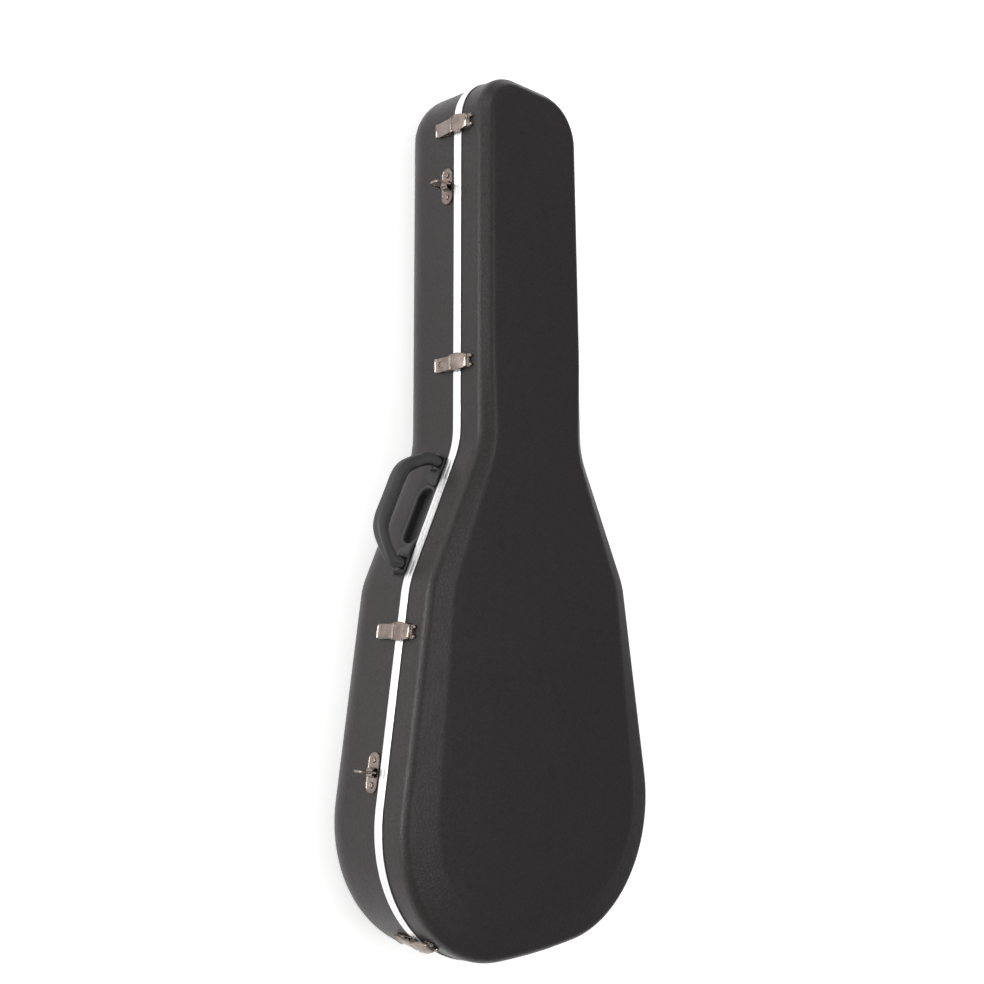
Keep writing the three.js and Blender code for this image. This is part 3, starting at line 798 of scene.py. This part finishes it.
def valance_profile(direction):
    """Closed (inset, height) section; direction is 1 for the lid's strip and -1 for the base's."""
    stand, height, web, seam, inner, edge = VALANCE.values()
    near = TONGUE["inset"]
    far = near + TONGUE["wide"]
    if direction < 0:
        top = TONGUE["rise"] - seam
        outline = [
            (-stand, -height), (-GAP, -height), (-GAP, -seam - web), (inner, -seam - web),
            (inner, -seam), (far, -seam), (far, top), (near, top), (near, -seam), (-stand, -seam),
        ]
    else:
        roof = LID_RIM_RISE - GAP
        groove = seam + TONGUE["rise"] + GAP
        outline = [
            (-stand, height), (-GAP, height), (-GAP, roof), (inner, roof), (inner, seam),
            (far + GAP, seam), (far + GAP, groove), (near - GAP, groove), (near - GAP, seam),
            (-stand, seam),
        ]
    radii = [edge, 0.2, 0, 0, 0.2, 0, 0.1, 0.1, 0, edge * 0.8]
    return [(p.x, SEAM_Z + p.y) for p in rounded_corners(outline, radii, 3)]


def valances():
    for name, direction, body in (("base_valance", -1, "base"), ("lid_valance", 1, "lid")):
        strip = loft(rings_of(valance_profile(direction)), looped=True)
        stand_in(f"{name}_strip", strip, "valance_metal", body, name)


# ---- pressed hardware


SHEET = 1.1
COVER_BEND = 0.6


def pressed_cover(line, crown, skirt):
    """Arched sheet-metal cover in wall coordinates.

    line gives (outward, up, half width) along the cover; crown is how much the sides fall
    below the middle, skirt how far they are then bent down.
    """
    spots = smooth_line(line, 5)
    section = [(0, 0, 0), (0.4, 0, 0.16), (0.7, 0, 0.49), (0.88, 0, 0.77), (1, -0.55, 1)]
    bend = [(-0.18, 0.28), (0, 0.75), (0, 0.55 * skirt), (0, skirt)]
    outer, inner = [], []
    halves = [spot.z for spot in spots]
    for (base, along), half in zip(directions([spot.xy for spot in spots]), halves):
        normal = Vector((-along.y, along.x))
        if normal.x < 0:
            normal = -normal
        right = [(share * half + shift, fall * crown) for share, shift, fall in section]
        right += [(half + shift, crown + drop) for shift, drop in bend]
        inside = []
        for x, d in right[:-1]:
            side_wall = x > half - COVER_BEND
            inside.append((max(0, x - SHEET) if side_wall else x, d + SHEET))
        inside.append((half - SHEET, crown + skirt))
        for rows, half_section in ((outer, right), (inner, inside)):
            full = [(-x, d) for x, d in reversed(half_section[1:])] + half_section
            rows.append([(x, *(base - normal * d)) for x, d in full])
    rings = [[*row_out, *reversed(row_in)] for row_out, row_in in zip(outer, inner)]
    return loft(rings)


def dimpled_rivet(radius, rise, from_out, x, up):
    """Domed rivet head with a dimple, standing on `from_out`."""
    shape = [(1, 0.3), (0.86, 0.75), (0.6, 1), (0.42, 0.98), (0.26, 0.62), (0.08, 0.5)]
    dome = [(radius * wide, from_out + rise * high) for wide, high in shape]
    return turned([(radius, from_out - 0.2), *dome], x, up)


def rod(radius, x_from, x_to, outward, up, edge=0.3):
    """Pin or knuckle along local X with rounded ends."""
    profile = [
        (radius - edge, x_from), (radius - edge * 0.3, x_from + edge * 0.3), (radius, x_from + edge),
        (radius, x_to - edge), (radius - edge * 0.3, x_to - edge * 0.3), (radius - edge, x_to),
    ]
    vertices, faces = lathe(profile)
    return [(v[2], v[0] + outward, v[1] + up) for v in vertices], faces


LATCH_PIVOT = (4.4, -3.5)
LATCH_LINK = (3.4, -10.5)
LATCH_PIN_HALF = 8.3
LINK_PIN_HALF = 9.8
WEB_HALF = 6.6
CHEEK = {"at": 9.4, "half": 0.55}
EAR = {"at": 7.7, "half": 0.5}
PLATE_THICK = 1.3
PRONG = {"at": 5.4, "up": 23.8}
LOCK_DOWN = 23


def latch_lever(locked):
    line = [
        (7.7, -4.8, 8.8), (8.3, -6.6, 9.2), (8.6, -8, 9.2), (7.9, -9.6, 9.0), (7.5, -12, 8.8),
        (7.2, -16, 8.8), (6.8, -20, 8.9), (6.3, -23, 9.1),
        (5.6, -27, 9.0), (5.4, -30, 8.9), (5.9, -32.6, 8.8), (6.8, -34.2, 8.6),
    ]
    cover = pressed_cover(line, 1.1, 2.5)
    web_outline = [(5.4, -1.9), (2.8, -1.9), (2.2, -5), (2.0, -12.2), (5.6, -12.8), (5.9, -8.3)]
    web = cheek(rounded_corners(web_outline, 0.7, 3), 0, WEB_HALF, 0.4)
    if not locked:
        return [cover, web]
    collar = [(5.2, 5.1), (5.2, 6.3), (4.9, 6.75), (4.2, 6.95), (3.75, 6.8), (3.6, 6.2), (3.6, 5.1)]
    return [cover, web, turned(collar, 0, -LOCK_DOWN, 28)]


def latch_hook():
    line = [
        (8.6, -3.2, 10.2), (9.4, 0, 10.8), (9.6, 4, 10.9), (9.2, 9, 10.3), (8.2, 14, 9.3),
        (7.2, 17.6, 8.4), (5.9, 20, 7.9), (4.2, 20.9, 7.7), (2.6, 20.9, 7.6),
    ]
    cover = pressed_cover(line, 1.4, 3.2)
    cheek_outline = [
        (2.1, -10.2), (2.3, -11.7), (3.6, -12.2), (4.9, -11.6), (8.2, -4.2),
        (8.6, -0.2), (7.6, 0.2), (6.6, -3.8), (3.6, -8.8),
    ]
    outline = rounded_corners(cheek_outline, 0.5, 2)
    cheeks = [cheek(outline, side * CHEEK["at"], CHEEK["half"], 0.3) for side in (-1, 1)]
    pin = rod(1, -LINK_PIN_HALF, LINK_PIN_HALF, *LATCH_LINK)
    return [cover, *cheeks, pin]


def latch_keeper():
    plate = rounded_corners(rectangle(-8, 11, 8, 21.8), 1.4, 4)
    lip_outline = [(GAP, 14.4), (5, 15.4), (5.2, 17), (4.2, 17.6), (1.4, 18.4), (GAP, 18.4)]
    lip = cheek(rounded_corners(lip_outline, [0, 0.8, 0.5, 0.4, 0, 0], 3), 0, 6, 0.5)
    knob = [(2.0, GAP), (2.3, 1.2), (2.35, 2.6), (2.0, 3.5), (1.2, 4.1), (0.3, 4.25)]
    prongs = []
    for side in (-1, 1):
        at = side * PRONG["at"]
        prongs.append(turned(knob, at, PRONG["up"], 18))
        stem = [(at - 1.7, 17.5), (at + 1.7, 17.5), (at + 1.9, 24.5), (at - 1.9, 24.5)]
        prongs.append(boss(rounded_corners(stem, 0.5, 2), GAP, 2.9, 0.5))
    return [boss(plate, GAP, GAP + PLATE_THICK, 0.4), lip, *prongs]


def latch_backplate():
    plate = rounded_corners(rectangle(-8.6, -33, 8.6, -8), 1.5, 4)
    ear_outline = [
        (GAP, -12), (1.6, -12), (2, -9.4), (2.9, -8.9), (5.6, -5.6), (6.6, -3.5),
        (6, -2), (4.4, -1.3), (2.9, -1.9), (2.1, -3.6), (2.1, -8.2), (GAP, -8.2),
    ]
    ears = [cheek(ear_outline, side * EAR["at"], EAR["half"], 0.12, 1) for side in (-1, 1)]
    return [boss(plate, GAP, GAP + PLATE_THICK, 0.35), *ears]


def lock_plug():
    """Lock cylinder with a sunk key hole."""
    profile = [(3.2, 2.6), (3.2, 5.9), (3.0, 6.2), (1.4, 6.25), (1.15, 6.0), (1.05, 5.0), (0.2, 4.9)]
    return turned(profile, 0, -LOCK_DOWN, 28)


def add_hardware(place, name, parts, body):
    """Nickel piece at a place on the wall, for the CAD node of the same name."""
    part = placed(place, merged(*parts))
    stand_in(f"{name}_metal", part, "nickel_hardware", body, name)


def latches():
    for where, x in LATCH_PLACES.items():
        place = wall_place(x, HANDLE_SIDE)
        name = f"{where}_latch"
        locked = where == "neck"
        pin = rod(1, -LATCH_PIN_HALF, LATCH_PIN_HALF, *LATCH_PIVOT)
        add_hardware(place, f"{name}_lever", latch_lever(locked), f"{name}_lever")
        add_hardware(place, f"{name}_hook", latch_hook(), f"{name}_hook")
        add_hardware(place, f"{name}_keeper", latch_keeper(), "lid")
        add_hardware(place, f"{name}_backplate", latch_backplate(), "base")
        add_hardware(place, f"{name}_pin", [pin], "base")
        if locked:
            plug = placed(place, lock_plug())
            stand_in("lock_plug_metal", plug, "nickel_hardware", "lock_plug", f"{name}_lock_plug")


HINGE = {"half": 22, "axis_out": 7, "knuckle": 3.4, "middle_half": 7, "pin": 1.35}
LEAF_HALF_THICK = 0.65
HINGE_RIVETS = (-15, 0, 15)


def hinge_leaf(up, spans):
    """Leaf on the lid (up = 1) or on the base (up = -1) with its knuckles."""
    half = HINGE["half"]
    line = [(2.7, 4.2), (2.7, 8.4), (2.3, 9.8), (1.4, 10.9), (0.95, 12), (0.95, 28)]
    outer = [(o + LEAF_HALF_THICK, u) for o, u in line]
    inner = [(o - LEAF_HALF_THICK, u) for o, u in reversed(line)]
    section = [(o, up * u) for o, u in rounded_corners(outer + inner, 0.3, 2)]
    parts = [cheek(section, 0, half, 0.4, 2)]
    tab = [(2.05, up * 5), (3.35, up * 5), (4.6, up * 0.4), (2.05, up * 0.4)]
    for low, high in spans:
        parts.append(rod(HINGE["knuckle"], low, high, HINGE["axis_out"], 0, 0.5))
        parts.append(across(soft_prism(tab, low + 0.1, high - 0.1, 0.15, 1)))
    parts += [dimpled_rivet(3.0, 1.3, GAP + PLATE_THICK, x, up * 21) for x in HINGE_RIVETS]
    return parts


def hinges():
    half, middle = HINGE["half"], HINGE["middle_half"]
    free = middle + 0.4
    for where, x in HINGE_PLACES.items():
        place = wall_place(x, HINGE_SIDE)
        name = f"{where}_hinge"
        pin = rod(HINGE["pin"], -half - 0.8, half + 0.8, HINGE["axis_out"], 0)
        add_hardware(place, f"{name}_base_leaf", hinge_leaf(-1, [(-half, -free), (free, half)]), "base")
        add_hardware(place, f"{name}_lid_leaf", hinge_leaf(1, [(-middle, middle)]), "lid")
        add_hardware(place, f"{name}_pin", [pin], "base")


STRAP = {"down": 18, "bar_out": 4.1, "reach": 22, "half": 10.5, "wire": 1.6, "rivet_at": 14}
STRAP_PLATE_THICK = 1.45
BRIDGE = {"top": 6.6, "thick": 1.1, "half": 5}


def strap_bracket():
    """Round-ended plate with a raised rim and a bent bridge over the ring's bar."""
    plate = stadium(23, 9.5, 10)
    steps = [
        (0.4, GAP), (0, GAP + 0.4), (0, GAP + 1.5), (0.35, GAP + 2.0), (0.9, GAP + 2.0),
        (1.35, GAP + 1.6), (1.9, GAP + STRAP_PLATE_THICK), (3.5, GAP + STRAP_PLATE_THICK),
    ]
    rings = []
    for inset, outward in steps:
        rings.append([(p.x, outward, p.y - STRAP["down"]) for p in shrunk(plate, inset)])
    half_arch = [(5.6, 1.6), (5.0, 2.2), (4.2, 5.2), (3.2, BRIDGE["top"])]
    arch = [(-out, up, 0) for out, up in half_arch]
    arch += [(0, BRIDGE["top"] + 0.3, 0), *[(out, up, 0) for out, up in reversed(half_arch)]]
    outer, inner = both_sides(smooth_line(arch, 3), BRIDGE["thick"])
    section = [(p.x, p.y) for p in outer + inner[::-1]]
    low, high = -STRAP["down"] - BRIDGE["half"], -STRAP["down"] + BRIDGE["half"]
    return [loft(rings), soft_prism(section, low, high, 0.3, 2)]


def strap_ring():
    """Bent wire ring that stands straight out from the wall."""
    wire = STRAP["wire"]
    half, reach = STRAP["half"] - wire, STRAP["reach"] - wire
    corners = [
        (-half, 0), (half, 0), (half, reach * 0.55), (half * 0.62, reach), (-half * 0.62, reach),
        (-half, reach * 0.55),
    ]
    loop = rounded_corners(corners, [2.4, 2.4, 6, 5, 5, 6], 6)
    path = [(0, STRAP["bar_out"] + p.y, p.x - STRAP["down"]) for p in loop]
    return tube(path, wire)


def strap_rings():
    for where, x in STRAP_RING_PLACES.items():
        place = wall_place(x, HANDLE_SIDE)
        name = f"{where}_strap"
        add_hardware(place, f"{name}_bracket", strap_bracket(), "base")
        add_hardware(place, f"{name}_ring", [strap_ring()], f"{name}_ring")
        for end, side in (("a", -1), ("b", 1)):
            at = side * STRAP["rivet_at"]
            rivet = dimpled_rivet(3.6, 1.9, GAP + STRAP_PLATE_THICK, at, -STRAP["down"])
            add_hardware(place, f"{name}_rivet_{end}", [rivet], "base")


# ---- carrying handle

HANDLE = {"pivot_half": 68, "pivot_out": 9, "pivot_down": 15, "lean": math.radians(17), "reach": 39}
HANDLE_FACETS = 8
FACET_SHARPNESS = 26
SECTION_POINTS = 40
END_ROUNDING = 5.0
# Share of the way from a pivot to the middle of the grip, half width in plane, half thickness.
HANDLE_STAGES = [
    (0.0, 7.6, 5.6), (0.16, 7.9, 6.2), (0.34, 7.4, 8.0), (0.5, 8.2, 9.2), (0.66, 9.5, 9.6),
    (1.0, 9.4, 9.6),
]


def faceted_radius(angle):
    """Radius of a softened regular polygon whose faces are one unit from the centre."""
    total = 0.0
    for k in range(HANDLE_FACETS):
        face = 2 * math.pi * (k + 0.5) / HANDLE_FACETS
        total += max(0.0, math.cos(angle - face)) ** FACET_SHARPNESS
    return total ** (-1 / FACET_SHARPNESS)


def handle_section(share):
    """Cross-section (in plane, across) at a share of the way from a pivot (0) to the middle (1)."""
    low = max(stage for stage in HANDLE_STAGES if stage[0] <= share)
    high = min(stage for stage in HANDLE_STAGES if stage[0] >= share)
    t = 0 if high[0] == low[0] else (share - low[0]) / (high[0] - low[0])
    half_wide, half_thick = (a + (b - a) * t for a, b in zip(low[1:], high[1:]))
    points = []
    for k in range(SECTION_POINTS):
        angle = 2 * math.pi * k / SECTION_POINTS
        radius = faceted_radius(angle)
        points.append((half_wide * radius * math.cos(angle), half_thick * radius * math.sin(angle)))
    return points


def handle_stations():
    """Points along the handle with their share of the way to its middle, and the half length."""
    pivot, reach = HANDLE["pivot_half"], HANDLE["reach"]
    half = [
        (pivot + 0.5, -5.5), (pivot + 0.8, 0), (pivot + 1, 6), (pivot - 1.5, 12.5), (pivot - 9, 21.5),
        (pivot - 19, 31), (pivot - 29, 36.8), (pivot - 42, reach), (pivot - 54, reach), (0, reach),
    ]
    path = smooth_line([(x, y, 0) for x, y in half], 5)
    lengths = [0.0]
    for a, b in zip(path, path[1:]):
        lengths.append(lengths[-1] + (b - a).length)
    stations = [(point, length / lengths[-1]) for point, length in zip(path, lengths)]
    stations += [(Vector((-p.x, p.y, 0)), share) for p, share in reversed(stations[:-1])]
    return stations, lengths[-1]


def handle_loop():
    """Swept loop in the handle's own plane: X along the case edge, Y away from the pivots."""
    stations, half_length = handle_stations()
    rings = []
    points, shares = zip(*stations)
    for (point, along), share in zip(directions(points), shares):
        side = Vector((along.y, -along.x, 0))
        from_end = min(half_length * share, END_ROUNDING) / END_ROUNDING
        shrink = math.sqrt(max(0.05, 1 - (1 - from_end) ** 2))
        ring = []
        for wide, thick in handle_section(share):
            spot = point + side * wide * shrink
            ring.append((spot.x, spot.y, thick * (0.75 + 0.25 * shrink)))
        rings.append(ring)
    return loft(rings)


EAR_OFFSET = 9.4
EAR_HALF = 1.6
PAD = {"from": 38.5, "top": 7.2}
MOUNT_BOTTOM = -31
MOUNT_TOP = -8.2


def sloped_pad(inner, outer):
    """Pad beside the recess that rises from the recess towards the arm of the handle."""
    side = math.copysign(1, outer)
    outline = [
        (inner, -8.4), (outer, -8.4), (outer, -30), (inner + side * 7, -27.5), (inner + side, -14),
    ]
    outline = rounded_corners(outline, [1.5, 1, 3, 4, 4], 4)
    vertices, faces = boss(outline, GAP, PAD["top"], 1.4, 4)
    slope = []
    for x, outward, up in vertices:
        rise = 0.5 + 0.5 * (x - inner) / (outer - inner)
        slope.append((x, GAP + (outward - GAP) * rise, up))
    return slope, faces


def handle_mount(side):
    """Block with two ears around the arm of the handle, and a sloped pad beside the recess."""
    x = side * HANDLE["pivot_half"]
    ear_outline = [
        (GAP, -25), (5, -24), (9.6, -20), (12.2, -16.8), (12.6, -13), (10.6, -9.8), (3, -8.3),
        (GAP, -8.3),
    ]
    outline = rounded_corners(ear_outline, [0, 2, 3, 3, 2.4, 2, 0.5, 0], 4)
    parts = [cheek(outline, x + offset, EAR_HALF, 0.6) for offset in (-EAR_OFFSET, EAR_OFFSET)]
    half = EAR_OFFSET + EAR_HALF
    block = rounded_corners(rectangle(x - half, MOUNT_BOTTOM, x + half, MOUNT_TOP), 3, 4)
    parts.append(boss(block, GAP, 3, 0.8))
    parts.append(sloped_pad(side * PAD["from"], x - side * (EAR_OFFSET + 0.8)))
    return parts


def carrying_handle():
    place = wall_place(HANDLE_PLACE, HANDLE_SIDE)
    pivot = place @ Matrix.Translation((0, HANDLE["pivot_out"], -HANDLE["pivot_down"]))
    pivot = pivot @ Matrix.Rotation(-HANDLE["lean"], 4, "X")
    grip = placed(pivot, handle_loop())
    stand_in("handle_grip", grip, "handle_plastic", "handle", "handle")
    half = EAR_OFFSET + EAR_HALF + 0.3
    for where, side in (("head", 1), ("body", -1)):
        name = f"handle_mount_{where}"
        mount = placed(place, merged(*handle_mount(side)))
        stand_in(f"{name}_block", mount, "handle_plastic", "base", name)
        x = side * HANDLE["pivot_half"]
        pin = rod(2, x - half, x + half, HANDLE["pivot_out"], -HANDLE["pivot_down"])
        add_hardware(place, f"handle_pin_{where}", [pin], "base")


# ---- padding and fittings inside

LINING_INSET = WALL + GAP
WELL_INSET = LINING_INSET + 15
WELL_FLOOR = LINING_INSET + 12
LID_WELL_ROOF = 142
LID_WELL_RADIUS = 14
PIPING_RADIUS = 1.1
PIPING_INSET = WELL_INSET - 1.2
PLUSH_CLEARANCE = 0.6


def base_lining():
    rim = SEAM_Z - RIM_DROP - GAP
    edge = BACK_EDGE_RADIUS
    centre = (edge, edge)
    outer = [(LINING_INSET, rim - 2.5), (LINING_INSET, rim - 30)]
    outer += quarter_arc(centre, edge - LINING_INSET, 0, -90, 8)
    lip = quarter_arc((LINING_INSET + 2.5, rim - 2.5), 2.5, 20, 90, 3)
    swell = quarter_arc((WELL_INSET - 4.5, rim - 4.5), 4.5, 90, 180, 5)
    wall = [(WELL_INSET, rim - 12), (WELL_INSET + 0.4, rim - 30), (WELL_INSET, rim - 46)]
    well = quarter_arc(centre, edge - WELL_INSET, 0, -90, 8)
    floor = [(edge, WELL_FLOOR), (edge + 4, WELL_FLOOR)]
    profile = [(edge + 4, LINING_INSET), *outer[::-1], *lip, *swell, *wall, *well[:-1], *floor]
    return loft(rings_of(profile))


def lid_lining():
    rim = SEAM_Z + LID_RIM_RISE + GAP

    def profile(x):
        band = lid_band(x, LINING_INSET)
        outer = [(LINING_INSET, rim + 2), (LINING_INSET, rim + 14), *band]
        lip = [(LINING_INSET + 0.8, rim + 0.6), (LINING_INSET + 2.5, rim)]
        swell = [(WELL_INSET - 4, rim), (WELL_INSET - 1.4, rim + 1.2), (WELL_INSET, rim + 4)]
        centre = (WELL_INSET + LID_WELL_RADIUS, LID_WELL_ROOF - LID_WELL_RADIUS)
        well = quarter_arc(centre, LID_WELL_RADIUS, 0, 90, 7)
        return [*outer[::-1], *lip, *swell, *well, (WELL_INSET + 20, LID_WELL_ROOF)]

    return loft(rings_of(profile))


def piping(height):
    """Round cord sewn along the edge of the padding."""
    return tube(outline_ring(lambda x: (PIPING_INSET, height)), PIPING_RADIUS, steps=8)


def well_half(low_x, high_x):
    """Smallest half width of the well between two places, for the pieces that fit into it."""
    return min(abs(p.y) - WELL_INSET for p, _ in OUTLINE if low_x <= p.x <= high_x)


BOX = {"near": -78, "shelf": -150, "far": -222, "half": 76, "top": 74, "board": 6}


def accessory_box():
    """Plush-covered box across the neck channel: four walls, a shelf, and an opening for the flap."""
    near, shelf, far, half, top, board = BOX.values()
    half = min(half, well_half(far, near)) - PLUSH_CLEARANCE
    floor = WELL_FLOOR + PLUSH_CLEARANCE
    parts = []

    def board_piece(x0, x1, y0, y1, z0, z1):
        outline = rounded_corners(rectangle(x0, y0, x1, y1), 1.8, 3)
        parts.append(soft_prism(outline, z0, z1, 1.6))

    board_piece(far, far + board, -half, half, floor, top)
    board_piece(near - board, near, -half, half, floor, top)
    for side in (-1, 1):
        board_piece(far, near, *sorted((side * half, side * (half - board))), floor, top)
    board_piece(far, shelf, -half, half, top - board, top)
    board_piece(far, near, -half, half, floor, floor + 3)
    return merged(*parts)


def cushion_prism(outline, low, high, edge, crown, steps=4):
    """Soft slab: rounded edges and a top that rises towards its middle."""
    points = [Vector(p) for p in outline]
    centre = sum(points, Vector((0, 0))) / len(points)
    rings = [(inset, low + rise, 0) for inset, rise in rounded_edge(edge, steps)]
    rings += [(rise, high - crown - inset, 0) for inset, rise in rounded_edge(edge, steps)]
    for share in (0.2, 0.45, 0.7, 0.9):
        rings.append((edge, high - crown + crown * math.sin(math.pi / 2 * share), share))
    result = []
    for inset, level, share in rings:
        ring = [p.lerp(centre, share) for p in shrunk(points, inset)]
        result.append([(p.x, p.y, level) for p in ring])
    return loft(result)


FLAP = {"bottom": 74.3, "thick": 4, "hinge_x": -136, "half": 71.5}


def accessory_flap():
    near, hinge, half = BOX["near"], FLAP["hinge_x"], FLAP["half"]
    outline = rounded_corners(rectangle(hinge + GAP, -half, near, half), [1.5, 7, 7, 1.5], 5)
    low, high = FLAP["bottom"], FLAP["bottom"] + FLAP["thick"]
    return cushion_prism(outline, low, high, 1.7, 0.6)


TAPE_THICK = 1.2
TAPE_EDGE = 0.5


def tape_line(points):
    return smooth_line([(x, z, 0) for x, z in points], 3)


def tape(points, half):
    """Flat woven tape that follows (x, z) points, `half` wide to each side of the centre line."""
    rings = []
    flat = half - TAPE_EDGE
    for top, bottom in zip(*both_sides(tape_line(points), TAPE_THICK)):
        middle = top.lerp(bottom, 0.5)
        around = [
            (middle, -half), (top, -flat), (top, flat), (middle, half), (bottom, flat), (bottom, -flat),
        ]
        rings.append([(p.x, y, p.y) for p, y in around])
    return loft(rings)


FLAP_TOP = FLAP["bottom"] + FLAP["thick"]
# Webbing glued to the shelf and to the top of the flap, as (x, z); it bends where the flap turns.
FLAP_TAPE = [
    (-149.5, 75.1), (-144, 75.1), (-140, 75.2), (-137.6, 75.8), (-136.2, 77), (-135, 78.2),
    (-133, FLAP_TOP + 0.5), (-129, FLAP_TOP + 0.6), (-124, FLAP_TOP + 0.6),
]
# Pull of webbing, sewn to the flap, that stands out past its free edge.
FLAP_PULL = [
    (BOX["near"] + x, FLAP_TOP + rise)
    for x, rise in ((-22, 0.9), (-14, 1), (-6, 0.9), (0, 1.8), (4, 4.3))
]
PULL_HALF = 7.5


CRADLE = {"near": -226, "far": -268, "half": 76, "top": 92, "notch": 34, "deep": 34}


def neck_cradle():
    """Padded block with a rounded notch for the neck."""
    near, far, half, top, notch, deep = CRADLE.values()
    half = min(half, well_half(far, near)) - 0.8
    floor = WELL_FLOOR + PLUSH_CLEARANCE
    corners = [
        (-half, floor), (half, floor), (half, top), (notch + 5, top), (notch, top - 8),
        (notch - 4, top - deep + 6), (notch - 18, top - deep), (-notch + 18, top - deep),
        (-notch + 4, top - deep + 6), (-notch, top - 8), (-notch - 5, top), (-half, top),
    ]
    outline = rounded_corners(corners, [3, 3, 9, 6, 6, 8, 8, 8, 8, 6, 6, 9], 5)
    return across(soft_prism(outline, far, near, 6, 5))


def finish_pad(pad, node):
    """Hides the soft CAD solid that this firm, plush-covered pad stands in for."""
    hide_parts(node)


def linings():
    liner = add_piece("base_lining", base_lining(), "plush_lining", "base")
    cut_recess(liner, 3, -RECESS["depth"] - 2.8)
    finish_pad(liner, "base_liner")
    finish_pad(add_piece("lid_lining", lid_lining(), "plush_lining", "lid"), "lid_liner")
    base_cord = piping(SEAM_Z - RIM_DROP - GAP - 0.6)
    add_piece("base_piping", base_cord, "webbing", "base")
    lid_cord = piping(SEAM_Z + LID_RIM_RISE + GAP + 0.8)
    add_piece("lid_piping", lid_cord, "webbing", "lid")


def fittings():
    stand_in("accessory_box_boards", accessory_box(), "plush_lining", "base", "accessory_box")
    flap = add_piece("accessory_flap_pad", accessory_flap(), "plush_lining", "accessory_flap")
    finish_pad(flap, "accessory_flap")
    finish_pad(add_piece("neck_cradle_pad", neck_cradle(), "plush_lining", "base"), "neck_cradle")
    half = FLAP["half"] - 1
    strip = stand_in("accessory_flap_webbing", tape(FLAP_TAPE, half), "webbing", None,
                     "accessory_flap_hinge")
    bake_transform(strip)
    tab = stand_in("accessory_flap_pull", tape(FLAP_PULL, PULL_HALF), "webbing", "accessory_flap",
                   "accessory_flap_tab")


# ---- assembly

make_camera()
make_light()
make_floor()
shells()
valances()
latches()
hinges()
strap_rings()
carrying_handle()
linings()
fittings()
